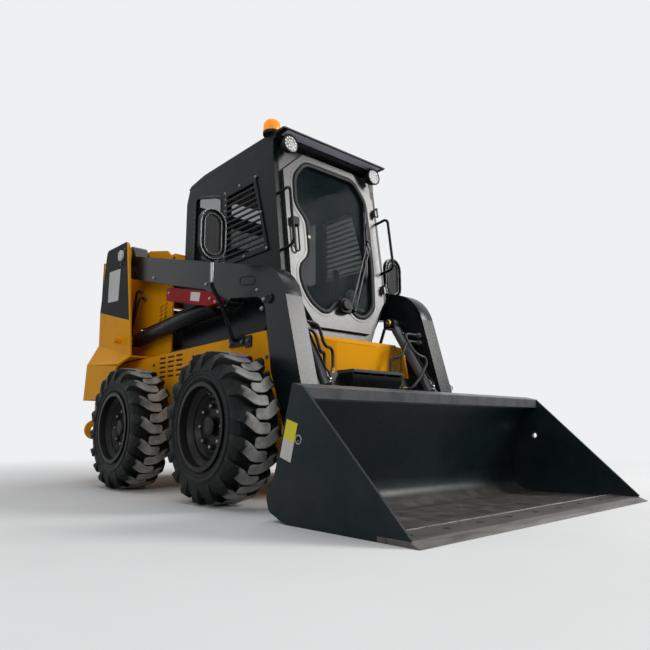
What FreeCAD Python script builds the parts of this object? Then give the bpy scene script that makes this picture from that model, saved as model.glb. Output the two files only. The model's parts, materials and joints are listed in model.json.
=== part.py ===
import FreeCAD, Part
import math
import os
import re

import Sketcher
from FreeCAD import Placement, Rotation, Vector

# A skid steer loader with its arms down and its bucket flat on the floor.
# +Z is up, the bucket looks towards -Y and +X is the machine's left.
# Stations (y) are measured from the middle of the wheelbase and heights (z) from the floor;
# each sub-part's placement then moves it so that y = 0 is the middle of the overall length.

doc = FreeCAD.newDocument("SkidSteerLoader")
sheet = doc.addObject("Spreadsheet::Sheet", "sizes")

SIZES = (
    # name, millimetres (or a count)
    ("front_reach", 1982),
    ("rear_reach", 1505),
    ("wheelbase", 1112),
    ("tyre_radius", 387),
    ("tyre_width", 264),
    ("tyre_inner", 627),
    ("lug_depth", 21),
    ("lug_pairs", 13),
    ("lug_width", 34),
    ("bead_radius", 209),
    ("flange_radius", 222),
    ("rim_sheet", 7),
    ("disc_depth", 62),
    ("hub_radius", 52),
    ("stud_circle", 103),
    ("stud_radius", 11),
    ("stud_count", 8),
    ("frame_half", 560),
    ("frame_floor", 205),
    ("frame_front", 705),
    ("frame_rear", 1395),
    ("frame_top", 897),
    ("case_inner", 300),
    ("case_top", 560),
    ("side_wall", 40),
    ("floor_sheet", 10),
    ("vent_depth", 14),
    ("vent_y", 255),
    ("vent_z", 722),
    ("vent_column", 118),
    ("vent_line", 32),
    ("panel_front", 800),
    ("panel_half", 480),
    ("panel_fold", 160),
    ("panel_low", 300),
    ("panel_sheet", 8),
    ("axle_radius", 58),
    ("tower_face", 662),
    ("tower_plate", 12),
    ("tower_inner", 482),
    ("tower_front", 850),
    ("tower_top", 1806),
    ("tower_foot", 895),
    ("tower_back", 1459),
    ("tower_bend", 1158),
    ("tower_shoulder", 1306),
    ("fender_rise", 141),
    ("fender_face", 742),
    ("fender_low", 600),
    ("engine_top", 1280),
    ("pivot_y", 1100),
    ("pivot_z", 1700),
    ("pivot_pin", 27),
    ("arm_outer", 600),
    ("arm_width", 110),
    ("arm_plate", 12),
    ("arm_eye", 78),
    ("knee_y", 852),
    ("knee_z", 1205),
    ("knee_round", 270),
    ("foot_y", 1040),
    ("foot_z", 215),
    ("foot_eye", 64),
    ("foot_pin", 20),
    ("side_play", 5),
    ("pin_play", 0.1),
    ("lift_x", 545),
    ("lift_base_y", 1030),
    ("lift_base_z", 1030),
    ("lift_eye_y", 280),
    ("lift_eye_z", 1128),
    ("lift_radius", 52),
    ("lift_rod", 24),
    ("lift_barrel", 1185),
    ("lift_lug", 38),
    ("lift_pin", 19),
    ("tilt_x", 415),
    ("tilt_base_y", 715),
    ("tilt_base_z", 1038),
    ("tilt_eye_y", 1120),
    ("tilt_eye_z", 410),
    ("tilt_radius", 31),
    ("tilt_rod", 16),
    ("tilt_barrel", 590),
    ("tilt_lug", 30),
    ("tilt_pin", 15),
    ("lift_width", 50),
    ("tilt_width", 40),
    ("seat_gap", 0.3),
    ("ear_plate", 12),
    ("hitch_half", 560),
    ("hitch_low", 206),
    ("hitch_top", 480),
    ("hitch_plate", 16),
    ("bucket_half", 910),
    ("bucket_side", 12),
    ("bucket_sheet", 10),
    ("bucket_heel", 1172),
    ("bucket_back_y", 1342),
    ("bucket_back_z", 556),
    ("bucket_lip", 64),
    ("bucket_lip_drop", 58),
    ("edge_rear", 1792),
    ("edge_thick", 20),
    ("cab_half", 434),
    ("cab_wall", 38),
    ("cab_low", 905),
    ("cab_front_low", 681),
    ("cab_front_top", 545),
    ("cab_rear", 512),
    ("cab_top", 2000),
    ("window_low", 1440),
    ("window_top", 1900),
    ("deck_rise", 162),
    ("deck_sheet", 12),
    ("roof_top", 2150),
    ("visor_reach", 652),
    ("door_half", 384),
    ("door_low_half", 222),
    ("door_low", 950),
    ("door_top", 2072),
    ("door_top_half", 214),
    ("door_thick", 18),
    ("door_gap", 6),
    ("glass_thick", 5),
    ("glass_half", 302),
    ("glass_low", 148),
    ("glass_top", 1104),
    ("glass_lap", 12),
    ("latch_reach", 76),
    ("latch_low", 478),
    ("latch_high", 712),
    ("motor_half", 50),
    ("motor_rise", 64),
    ("hood_front", 560),
    ("hood_top", 1640),
    ("corner_cut", 282),
    ("corner_back", 220),
    ("lamp_radius", 48),
    ("lamp_x", 360),
    ("lamp_y", 572),
    ("lamp_z", 2066),
    ("visor_sheet", 14),
    ("screen_slots", 12),
    ("screen_pitch", 38),
    ("step_z", 690),
    ("step_half", 200),
    ("beam_low", 560),
    ("hood_sheet", 20),
    ("tail_thick", 60),
    ("tail_low", 480),
    ("tail_half", 452),
    ("grille_low", 1040),
    ("grille_line", 46),
    ("bumper_low", 300),
    ("bumper_high", 465),
    ("bumper_half", 610),
    ("tie_x", 670),
    ("tie_z", 376),
    ("tie_hole", 28),
    ("tie_eye", 72),
    ("tie_plate", 24),
    ("hook_y", 1385),
    ("hook_z", 330),
    ("hook_hole", 14),
    ("hose_radius", 9),
    ("hose_bend", 60),
    ("fitting_radius", 13),
    ("fitting_length", 26),
    ("mirror_x", 757),
    ("mirror_y", 400),
    ("mirror_z", 1459),
    ("mirror_half", 84),
    ("mirror_rise", 150),
    ("mirror_rim", 12),
)

for row, (name, value) in enumerate(SIZES, start=1):
    sheet.set(f"A{row}", name)
    sheet.set(f"B{row}", str(value))
    sheet.setAlias(f"B{row}", name)
doc.recompute()

# The same values as plain numbers, for the shapes that are drawn by code.
size = {name: float(sheet.get(name)) for name, value in SIZES}
NAMES = re.compile(r"\b(" + "|".join(size) + r")\b")
OUT = {}


def bound(text):
    """An expression on the sheet's cells."""
    return NAMES.sub(r"sizes.\1", str(text))


def finish(label, thing):
    """Name a sub-part, move it to the frame's origin and keep it for writing."""
    thing.Label = label
    own = [text for path, text in thing.ExpressionEngine if path.endswith("Placement.Base.y")]
    shift = bound("(front_reach - rear_reach) / 2")
    thing.setExpression("Placement.Base.y", " + ".join([shift] + own))
    OUT[label] = thing
    return thing


# Building blocks


def new_body(name):
    return doc.addObject("PartDesign::Body", name + "_body")


def place_sketch(body, role, offset, lean=None):
    """A sketch at an offset along the plane's normal; lean holds a tilt and the foot that it turns about."""
    plane = next(f for f in body.Origin.OriginFeatures if f.Role == role)
    sketch = body.newObject("Sketcher::SketchObject", body.Name + "_sketch")
    sketch.AttachmentSupport = [(plane, "")]
    sketch.MapMode = "FlatFace"
    if lean:
        angle, foot, rise = lean
        sketch.AttachmentOffset = Placement(Vector(), Rotation(Vector(1, 0, 0), 1))
        sketch.setExpression("AttachmentOffset.Rotation.Angle", bound(f"-({angle})"))
        sketch.setExpression("AttachmentOffset.Base.y", bound(f"{rise} + ({offset}) * sin({angle})"))
        sketch.setExpression("AttachmentOffset.Base.z", bound(f"{foot} + ({offset}) * cos({angle})"))
    else:
        sketch.setExpression("AttachmentOffset.Base.z", bound(offset))
    return sketch


def outline(body, role, points, offset="0", lean=None):
    """A closed sketch; each point is a pair of expressions, which dimension it."""
    sketch = place_sketch(body, role, offset, lean)
    count = len(points)
    turn = 2 * math.pi / count
    rough = [Vector(math.cos(turn * k), math.sin(turn * k), 0) * 900 for k in range(count)]
    for k in range(count):
        sketch.addGeometry(Part.LineSegment(rough[k], rough[(k + 1) % count]), False)
    for k, (across, up) in enumerate(points):
        last = (k - 1) % count
        sketch.addConstraint(Sketcher.Constraint("Coincident", last, 2, k, 1))
        for kind, text, at in (("DistanceX", across, rough[k].x), ("DistanceY", up, rough[k].y)):
            index = sketch.addConstraint(Sketcher.Constraint(kind, -1, 1, k, 1, at))
            sketch.setExpression(f"Constraints[{index}]", bound(text))
    return sketch


def circle(body, role, centre, radius, offset="0"):
    sketch = place_sketch(body, role, offset)
    sketch.addGeometry(Part.Circle(Vector(10, 10, 0), Vector(0, 0, 1), 5), False)
    across = sketch.addConstraint(Sketcher.Constraint("DistanceX", -1, 1, 0, 3, 10))
    up = sketch.addConstraint(Sketcher.Constraint("DistanceY", -1, 1, 0, 3, 10))
    reach = sketch.addConstraint(Sketcher.Constraint("Radius", 0, 5))
    sketch.setExpression(f"Constraints[{across}]", bound(centre[0]))
    sketch.setExpression(f"Constraints[{up}]", bound(centre[1]))
    sketch.setExpression(f"Constraints[{reach}]", bound(radius))
    return sketch


def pad(body, sketch, length):
    feature = body.newObject("PartDesign::Pad", body.Name + "_pad")
    feature.Profile = sketch
    feature.setExpression("Length", bound(length))
    body.Tip = feature
    return feature


def pocket(body, sketch, length):
    """Cut from the sketch against its normal."""
    feature = body.newObject("PartDesign::Pocket", body.Name + "_pocket")
    feature.Profile = sketch
    feature.setExpression("Length", bound(length))
    body.Tip = feature
    return feature


def slab(body, role, points, low, high, lean=None):
    """A pad between two offsets along the plane's normal."""
    sketch = outline(body, role, points, low, lean)
    return sketch, pad(body, sketch, f"({high}) - ({low})")


def cut(body, role, points, low, high, lean=None):
    sketch = outline(body, role, points, high, lean)
    return sketch, pocket(body, sketch, f"({high}) - ({low})")


def bore(body, role, centre, radius, low, high):
    return pocket(body, circle(body, role, centre, radius, high), f"({high}) - ({low})")


def boss(body, role, centre, radius, low, high):
    return pad(body, circle(body, role, centre, radius, low), f"({high}) - ({low})")


def round_corners(body, sketch, corners):
    """Fillet the edges that stand on a sketch's points: point number, radius."""
    for radius in sorted(set(corners.values())):
        doc.recompute()
        base = body.Tip
        places = [
            sketch.Placement.multVec(sketch.Geometry[k].StartPoint)
            for k, value in corners.items()
            if value == radius
        ]
        normal = sketch.Placement.Rotation.multVec(Vector(0, 0, 1))
        edges = []
        for number, edge in enumerate(base.Shape.Edges, start=1):
            if edge.Curve.TypeId != "Part::GeomLine":
                continue
            start, end = edge.Vertexes[0].Point, edge.Vertexes[-1].Point
            if abs((end - start).normalize().dot(normal)) < 0.999:
                continue
            flat = [(start - p) - normal * (start - p).dot(normal) for p in places]
            if min(v.Length for v in flat) < 0.01:
                edges.append(f"Edge{number}")
        fillet = body.newObject("PartDesign::Fillet", body.Name + "_round")
        fillet.Base = (base, edges)
        fillet.setExpression("Radius", bound(radius))
        body.Tip = fillet
    doc.recompute()


def mirrored(label, source):
    """The same piece on the other side of the machine's middle plane."""
    twin = doc.addObject("Part::Mirroring", label + "_mirror")
    twin.Source = source
    twin.Normal = Vector(1, 0, 0)
    twin.Label = label
    OUT[label] = twin
    return twin


def joined(name, things):
    fuse = doc.addObject("Part::MultiFuse", name + "_fuse")
    fuse.Shapes = things
    return fuse


def across(name, y, z, radius, low, high):
    """A round bar along X between two stations of x."""
    bar = doc.addObject("Part::Cylinder", name)
    bar.Placement = Placement(Vector(), Rotation(Vector(0, 1, 0), 90))
    bar.setExpression("Radius", bound(radius))
    bar.setExpression("Height", bound(f"({high}) - ({low})"))
    bar.setExpression("Placement.Base.x", bound(low))
    bar.setExpression("Placement.Base.y", bound(y))
    bar.setExpression("Placement.Base.z", bound(z))
    return bar


def box(name, x, y, z):
    """A block between pairs of expressions."""
    block = doc.addObject("Part::Box", name)
    for side, letter, (low, high) in (("Length", "x", x), ("Width", "y", y), ("Height", "z", z)):
        block.setExpression(side, bound(f"({high}) - ({low})"))
        block.setExpression(f"Placement.Base.{letter}", bound(low))
    return block


def drawn(name, shape):
    """A shape drawn by code from the sheet's values."""
    thing = doc.addObject("Part::Feature", name)
    thing.Shape = shape
    return thing


def pipe(points, radius, bend):
    """A round tube along straight runs joined by tangent arcs."""
    points = [Vector(*p) for p in points]
    edges = []
    start = points[0]
    for before, corner, after in zip(points, points[1:], points[2:]):
        back = (before - corner).normalize()
        on = (after - corner).normalize()
        half = math.acos(max(-1, min(1, back.dot(on)))) / 2
        reach = min(bend / math.tan(half), 0.45 * (before - corner).Length, 0.45 * (after - corner).Length)
        middle = (back + on).normalize()
        turn = reach * math.tan(half)
        centre = corner + middle * (turn / math.sin(half))
        first, last = corner + back * reach, corner + on * reach
        edges.append(Part.LineSegment(start, first).toShape())
        edges.append(Part.Arc(first, centre - middle * turn, last).toShape())
        start = last
    edges.append(Part.LineSegment(start, points[-1]).toShape())
    along = (points[1] - points[0]).normalize()
    profile = Part.Wire([Part.Circle(points[0], along, radius).toShape()])
    return Part.Wire(edges).makePipeShell([profile], True, False, 2)


def prism(points, vector):
    wire = Part.makePolygon([Vector(*p) for p in points] + [Vector(*points[0])])
    return Part.Face(wire).extrude(Vector(*vector))


def sheet_between(first, second):
    """A flat or twisted sheet between two thin outlines of the same number of points."""
    wires = [Part.makePolygon([Vector(*p) for p in row] + [Vector(*row[0])]) for row in (first, second)]
    return Part.makeLoft(wires, True, True)


# Wheels: a tyre with slanted lugs on a stepped rim


def ring_corners(x, radius, count):
    """A regular outline around the axle; its flats face the places of the lugs."""
    half = math.pi / count
    turns = [half * k for k in range(1, 2 * count + 1, 2)]
    return [Vector(x, radius * math.sin(turn), radius * math.cos(turn)) for turn in turns]


def turned_flats(rings):
    """A closed solid of flat faces between regular outlines, the last joined to the first."""
    faces = []
    for near, far in zip(rings, rings[1:] + rings[:1]):
        for k in range(len(near)):
            corners = [near[k - 1], near[k], far[k], far[k - 1], near[k - 1]]
            faces.append(Part.Face(Part.makePolygon(corners)))
    return Part.makeSolid(Part.makeShell(faces))


def make_tyre(name):
    """A left tyre about its own axle."""
    outer = size["tyre_radius"]
    base = outer - size["lug_depth"]
    low = size["tyre_inner"]
    width = size["tyre_width"]
    bead = size["bead_radius"]
    count = int(2 * size["lug_pairs"])
    flat = math.cos(math.pi / count)
    # distance from the tyre's side, radius
    section = ((24, bead / flat), (0, (bead + base) / 2), (12, base - 16), (32, base / flat))
    rings = [ring_corners(low + x, r, count) for x, r in section]
    rings += [ring_corners(low + width - x, r, count) for x, r in reversed(section)]
    carcass = turned_flats(rings)
    mid = low + width / 2
    step = 360 / count
    lugs = []
    for side, first in ((-1, 0), (1, step)):
        bar = make_lug(side, mid, width / 2 - 6, base, outer)
        for k in range(count // 2):
            lug = bar.copy()
            lug.rotate(Vector(), Vector(1, 0, 0), first + 2 * k * step)
            lugs.append(lug)
    return drawn(name + "_form", carcass.fuse(lugs))


def make_lug(side, mid, reach, base, outer):
    """A bent bar: it runs from the middle of the tread to the shoulder and steps down there."""
    half = size["lug_width"] / 2
    root = base - 30
    # x from the middle towards the shoulder, lead along the tread
    spine = ((-14, 25), (44, 4), (reach, -24))
    front = [(mid + side * x, lead + half) for x, lead in spine]
    back = [(mid + side * x, lead - half) for x, lead in reversed(spine)]
    face = Part.Face(Part.makePolygon([Vector(x, lead, root) for x, lead in front + back + front[:1]]))
    bar = face.extrude(Vector(0, 0, outer - root))
    edge = mid + side * (reach + 1)
    corner = (
        (edge, -90, outer - 24),
        (edge, -90, outer + 5),
        (edge - side * 30, -90, outer + 5),
    )
    return bar.cut(prism(corner, (0, 220, 0)))


def make_rim(name):
    """The left wheel's rim: a drop-centre barrel, a dished disc and its studs."""
    body = new_body(name)
    wall = "rim_sheet"
    face = "tyre_inner + tyre_width - 7"
    rear = "tyre_inner + 7"
    seat = "bead_radius - seat_gap"
    step = "bead_radius - 26"
    # station along the axle, radius
    points = (
        (face, "flange_radius"),
        (f"{face} - {wall}", "flange_radius"),
        (f"{face} - {wall}", seat),
        (f"{rear} + {wall}", seat),
        (f"{rear} + {wall}", "flange_radius"),
        (rear, "flange_radius"),
        (rear, f"{seat} - {wall}"),
        (f"{face} - disc_depth - 40", f"{step} - {wall}"),
        (f"{face} - disc_depth - 40", "hub_radius + 0.5"),
        (f"{face} - disc_depth - 24", "hub_radius + 0.5"),
        (f"{face} - disc_depth - 24", "stud_circle + 28"),
        (f"{face} - disc_depth", "stud_circle + 46"),
        (f"{face} - disc_depth - 6", f"{step} - {wall}"),
        (f"{face} - 44", f"{seat} - {wall}"),
        (face, f"{seat} - {wall}"),
    )
    sketch = outline(body, "XY_Plane", points)
    turned = body.newObject("PartDesign::Revolution", name + "_turned")
    turned.Profile = sketch
    turned.ReferenceAxis = (sketch, ["H_Axis"])
    turned.Angle = 360
    body.Tip = turned
    nut = circle(body, "YZ_Plane", ("stud_circle", "0"), "stud_radius", f"{face} - disc_depth - 24")
    stud = pad(body, nut, "16")
    ring = body.newObject("PartDesign::PolarPattern", name + "_studs")
    ring.Originals = [stud]
    ring.Axis = (nut, ["N_Axis"])
    ring.Angle = 360
    ring.setExpression("Occurrences", bound("stud_count"))
    axis = next(f for f in body.Origin.OriginFeatures if f.Role == "X_Axis")
    ring.Axis = (axis, [""])
    body.Tip = ring
    return body


def make_wheels():
    shift = "(front_reach - rear_reach) / 2"
    for end, sign in (("front", "-"), ("rear", "+")):
        for kind, make in (("rim", make_rim), ("tyre", make_tyre)):
            left = make(f"{kind}_{end}_left")
            left.Label = f"{kind}_{end}_left"
            left.setExpression("Placement.Base.y", bound(f"{shift} {sign} wheelbase / 2"))
            left.setExpression("Placement.Base.z", bound("tyre_radius"))
            OUT[left.Label] = left
            mirrored(f"{kind}_{end}_right", left)


# Main frame: two chain cases joined by a floor, with vented side walls


def make_frame():
    body = new_body("main_frame")
    side = (
        ("-frame_front + 70", "frame_floor"),
        ("frame_rear - 130", "frame_floor"),
        ("frame_rear - 30", "frame_floor + 130"),
        ("frame_rear - 30", "frame_top - 22"),
        ("-frame_front + 32", "frame_top"),
        ("-frame_front - 14", "case_top + 130"),
        ("-frame_front", "case_top - 60"),
    )
    slab(body, "YZ_Plane", side, "-frame_half", "frame_half")
    well = (
        ("-frame_front - 60", "case_top"),
        ("-frame_front - 60", "frame_top + 40"),
        ("frame_rear + 20", "frame_top + 40"),
        ("frame_rear + 20", "case_top"),
    )
    cut(body, "YZ_Plane", well, "-frame_half + side_wall", "frame_half - side_wall")
    foot = (
        ("-frame_front - 60", "frame_floor + floor_sheet"),
        ("-frame_front - 60", "case_top + 5"),
        ("frame_rear + 20", "case_top + 5"),
        ("frame_rear + 20", "frame_floor + floor_sheet"),
    )
    cut(body, "YZ_Plane", foot, "-case_inner", "case_inner")
    # louvres: three columns of short slots in each side wall
    for face in ("left", "right"):
        for column in range(3):
            for line in range(5):
                y = f"vent_y + {column} * vent_column"
                z = f"vent_z + {line} * vent_line"
                slot = (
                    (f"{y}", f"{z}"),
                    (f"{y} + 88", f"{z}"),
                    (f"{y} + 88", f"{z} + 13"),
                    (f"{y}", f"{z} + 13"),
                )
                if face == "left":
                    cut(body, "YZ_Plane", slot, "frame_half - vent_depth", "frame_half + 1")
                else:
                    cut(body, "YZ_Plane", slot, "-frame_half - 1", "-frame_half + vent_depth")
    finish("main_frame", body)

    hubs = []
    disc = "tyre_inner + tyre_width - 7 - disc_depth - 40"
    for end in ("-", "+"):
        station = f"{end} wheelbase / 2"
        for radius, low, high in (
            ("axle_radius", "frame_half", f"{disc} - seat_gap"),
            ("hub_radius", f"{disc} - 10", f"{disc} + 22"),
        ):
            hubs.append(across("axle_tube", station, "tyre_radius", radius, low, high))
            hubs.append(across("axle_tube", station, "tyre_radius", radius, f"-({high})", f"-({low})"))
    finish("axle_hubs", joined("axle_hubs", hubs))

    panel = new_body("front_panel")
    front = (
        ("-panel_front + panel_sheet", "panel_low"),
        ("-panel_front + panel_sheet", "frame_top - 44"),
        ("-frame_front - 20", "frame_top - 6"),
        ("-frame_front - 20", "frame_top + 2"),
        ("-panel_front - 2", "frame_top - 34"),
        ("-panel_front", "frame_top - 40"),
        ("-panel_front", "panel_low"),
    )
    slab(panel, "YZ_Plane", front, "-panel_half", "panel_half")
    # the sides fold back to the chain cases
    seat = "-frame_front - 5 - seat_gap"
    for side in ("", "-"):
        wing = (
            (f"{side}(panel_fold - 6)", "-panel_front"),
            (f"{side}(panel_fold)", "-panel_front"),
            (f"{side}(panel_half)", seat),
            (f"{side}(panel_half - 4 * panel_sheet)", seat),
            (f"{side}(panel_fold - 6)", "-panel_front + panel_sheet"),
        )
        slab(panel, "XY_Plane", wing, "panel_low", "frame_top - 40")
    for side in ("", "-"):
        corner = (
            (f"{side}(panel_fold)", "-panel_front"),
            (f"{side}(panel_half)", seat),
            (f"{side}(panel_half + 5)", seat),
            (f"{side}(panel_half + 5)", "-panel_front - 5"),
            (f"{side}(panel_fold)", "-panel_front - 5"),
        )
        cut(panel, "XY_Plane", corner, "panel_low - 1", "frame_top + 10")
    finish("front_panel", panel)


# Rear towers: the arms and the lift cylinders hang between an outer and an inner plate


def make_towers():
    body = new_body("tower_left")
    outer = (
        ("tower_front - 8", "tower_foot"),
        ("tower_front + 31", "tower_bend"),
        ("pivot_y - 142", "pivot_z - 26"),
        ("pivot_y - 118", "tower_top - 12"),
        ("pivot_y + 299", "tower_top"),
        ("tower_back + 16", "tower_shoulder"),
        ("tower_back", "tower_foot + fender_rise"),
    )
    low, high = "tower_face - tower_plate", "tower_face"
    sketch, _ = slab(body, "YZ_Plane", outer, low, high)
    round_corners(body, sketch, {3: "70", 4: "40"})
    inner = (
        ("hood_front + 20", "frame_top - 60"),
        ("hood_front + 20", "1310"),
        ("hood_front + 60", "hood_top - 20"),
        ("hood_front + 140", "hood_top + 43"),
        ("pivot_y - 120", "tower_top - 60"),
        ("pivot_y + 270", "tower_top - 60"),
        ("tower_back", "tower_shoulder"),
        ("tower_back", "case_top + seat_gap"),
        ("tyre_radius + wheelbase / 2 + 110", "case_top + seat_gap"),
        ("tyre_radius + wheelbase / 2 + 40", "frame_top - 60"),
    )
    slab(body, "YZ_Plane", inner, "tower_inner - tower_plate", "tower_inner")
    # slanted slots let air out of the engine room
    for column in range(2):
        for line in range(4):
            y = f"hood_front + 96 + {column} * 74"
            z = f"1180 + {line} * 32 - {column} * 8"
            slot = (
                (y, z),
                (f"{y} + 46", f"{z} - 22"),
                (f"{y} + 52", f"{z} - 8"),
                (f"{y} + 6", f"{z} + 14"),
            )
            cut(body, "YZ_Plane", slot, "tower_inner - tower_plate - 1", "tower_inner + 1")
    # the rear web closes the tower behind the arm
    web = (
        ("tower_inner - tower_plate", "bumper_high"),
        ("tower_face", "bumper_high"),
        ("tower_face", "tower_top - 90"),
        ("tower_inner - tower_plate", "tower_top - 90"),
    )
    slab(body, "XZ_Plane", web, "-tower_back", "-tower_back + tower_plate")
    shelf = (
        ("tower_inner - tower_plate", "tower_foot - 6"),
        ("tower_face", "tower_foot - 6"),
        ("tower_face", "tower_foot + 6"),
        ("tower_inner - tower_plate", "tower_foot + 6"),
    )
    slab(body, "XZ_Plane", shelf, "-tower_back", "-tower_front + 8")
    # bosses and pins of the arm and of the lift cylinder
    for y, z, ring, pin, first, last in (
        ("pivot_y", "pivot_z", "64", "pivot_pin", "arm_outer - arm_width", "arm_outer"),
        ("lift_base_y", "lift_base_z", "34", "lift_pin", "lift_x - lift_width / 2", "lift_x + lift_width / 2"),
    ):
        boss(body, "YZ_Plane", (y, z), ring, "tower_inner - tower_plate", f"{first} - side_play")
        boss(body, "YZ_Plane", (y, z), ring, f"{last} + side_play", "tower_face")
        boss(body, "YZ_Plane", (y, z), pin, "tower_inner - tower_plate", "tower_face + 10")
    boss(body, "YZ_Plane", ("lift_base_y", "lift_base_z"), "lift_pin + 6", "tower_face - 1", "tower_face + 38")
    doc.recompute()
    plates = body

    # the fender: a sheet that flares outwards over the rear wheel
    face, flare, t = size["tower_face"], size["fender_face"], size["tower_plate"]
    arch = size["wheelbase"] / 2 + size["tyre_radius"]
    low_z, foot = size["fender_low"], size["tower_foot"]
    crest = foot + size["fender_rise"]
    front_y, back_y = size["tower_front"] - 8, size["tower_back"]
    top = [
        (face, front_y, foot),
        (face, back_y, crest),
        (face - t, back_y, crest),
        (face - t, front_y, foot),
    ]
    bottom = [
        (flare, front_y + 30, foot - 62),
        (flare, back_y + 8, foot - 20),
        (flare - t, back_y + 8, foot - 32),
        (flare - t, front_y + 30, foot - 74),
    ]
    flange = sheet_between(top, bottom)
    skirt = prism(
        (
            (flare - t, front_y + 30, foot - 74),
            (flare - t, arch + 40, foot - 180),
            (flare - t, arch + 90, low_z),
            (flare - t, back_y + 40, low_z),
            (flare - t, back_y + 8, foot - 20),
        ),
        (t, 0, 0),
    )
    near = [
        (face - t, back_y, crest),
        (face - t, back_y + 40, low_z),
        (face - t, back_y + 40 - t, low_z),
        (face - t, back_y - t, crest),
    ]
    far = [
        (flare, back_y + 8, foot - 20),
        (flare, back_y + 40, low_z),
        (flare, back_y + 40 - t, low_z),
        (flare, back_y + 8 - t, foot - 20),
    ]
    rear = sheet_between(near, far)
    fender = drawn("fender_form", flange.fuse([skirt, rear]))
    tower = finish("tower_left", joined("tower_left", [plates, fender]))
    mirrored("tower_right", tower)


# Rear end: bumper with tie-down eyes, engine, its cover and the tailgate


def make_rear():
    body = new_body("rear_bumper")
    plan = (
        ("-bumper_half", "rear_reach - 90"),
        ("-bumper_half", "rear_reach - 30"),
        ("-tail_half", "rear_reach"),
        ("tail_half", "rear_reach"),
        ("bumper_half", "rear_reach - 30"),
        ("bumper_half", "rear_reach - 90"),
    )
    slab(body, "XY_Plane", plan, "bumper_low", "bumper_high")
    sole = (
        ("-case_inner - 60", "frame_rear - 30 + seat_gap"),
        ("-case_inner - 60", "rear_reach - 60"),
        ("case_inner + 60", "rear_reach - 60"),
        ("case_inner + 60", "frame_rear - 30 + seat_gap"),
    )
    slab(body, "XY_Plane", sole, "bumper_low + 40", "bumper_high - 40")
    # a tie-down eye stands out at each end
    low, high = "-rear_reach + 90 - tie_plate", "-rear_reach + 90"
    neck = (
        ("bumper_half - 10", "tie_z - tie_eye"),
        ("bumper_half - 10", "tie_z + tie_eye"),
        ("tie_x", "tie_z + tie_eye"),
        ("tie_x", "tie_z - tie_eye"),
    )
    slab(body, "XZ_Plane", neck, low, high)
    slab(body, "XZ_Plane", [(f"-({x})", z) for x, z in neck], low, high)
    for x in ("tie_x", "-tie_x"):
        boss(body, "XZ_Plane", (x, "tie_z"), "tie_eye", low, high)
    for x in ("tie_x", "-tie_x"):
        bore(body, "XZ_Plane", (x, "tie_z"), "tie_hole", f"{low} - 1", f"{high} + 1")
    finish("rear_bumper", body)

    block = box(
        "engine",
        ("-case_inner + 20", "case_inner - 20"),
        ("hood_front + 60", "frame_rear - 120"),
        ("frame_floor + floor_sheet + seat_gap", "engine_top"),
    )
    finish("engine_block", block)

    cover = new_body("engine_cover")
    roof = (
        ("hood_front", "hood_top - 80"),
        ("hood_front + 30", "hood_top"),
        ("rear_reach - 130", "hood_top + 40"),
        ("rear_reach - 62", "hood_top - 40"),
        ("rear_reach - 62", "hood_top - 120"),
        ("rear_reach - 62 - hood_sheet", "hood_top - 120"),
        ("rear_reach - 62 - hood_sheet", "hood_top - 50"),
        ("rear_reach - 138", "hood_top + 18"),
        ("hood_front + 40", "hood_top - hood_sheet"),
        ("hood_front + hood_sheet", "hood_top - 84"),
    )
    half = "(tower_inner - tower_plate - seat_gap)"
    slab(cover, "YZ_Plane", roof, f"-{half}", half)
    finish("engine_cover", cover)

    tail = new_body("rear_door")
    leaf = (
        ("-tail_half", "tail_low"),
        ("-tail_half", "hood_top - 128"),
        ("tail_half", "hood_top - 128"),
        ("tail_half", "tail_low"),
    )
    sketch, _ = slab(tail, "XZ_Plane", leaf, "-rear_reach + 4", "-rear_reach + 4 + tail_thick")
    round_corners(tail, sketch, {1: "40", 2: "40"})
    for line in range(9):
        z = f"grille_low + {line} * grille_line"
        slot = (
            ("-tail_half + 90", f"{z}"),
            ("-tail_half + 90", f"{z} + 26"),
            ("tail_half - 90", f"{z} + 26"),
            ("tail_half - 90", f"{z}"),
        )
        cut(tail, "XZ_Plane", slot, "-rear_reach - 1", "-rear_reach + 5 + tail_thick")
    leafs = []
    x, y = size["tower_inner"] - 4, size["tower_back"] + size["seat_gap"] + 9
    for z in (700, 1290):
        knuckle = Part.makeCylinder(9, 80, Vector(x, y, z))
        strap = Part.makeBox(x - size["tail_half"] + 12, 9, 80, Vector(size["tail_half"] - 12, y, z))
        leafs.append(knuckle.fuse(strap))
    hinges = drawn("tail_hinges", leafs[0].fuse(leafs[1:]))
    finish("rear_door", joined("rear_door", [tail, hinges]))

    lamps = []
    for side in (-1, 1):
        low_x = "548" if side > 0 else "-640"
        depth = ("tower_back + seat_gap", "tower_back + 34")
        lamps.append(box("lamp", (low_x, f"{low_x} + 92"), depth, ("990", "1110")))
    finish("rear_lamps", joined("rear_lamps", lamps))


# Cab: side walls, a leaning front frame, rear wall, floor and roof

CAB_LEAN = ("atan((cab_front_low - cab_front_top) / (cab_top - cab_low))", "cab_front_low", "cab_low")


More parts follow.
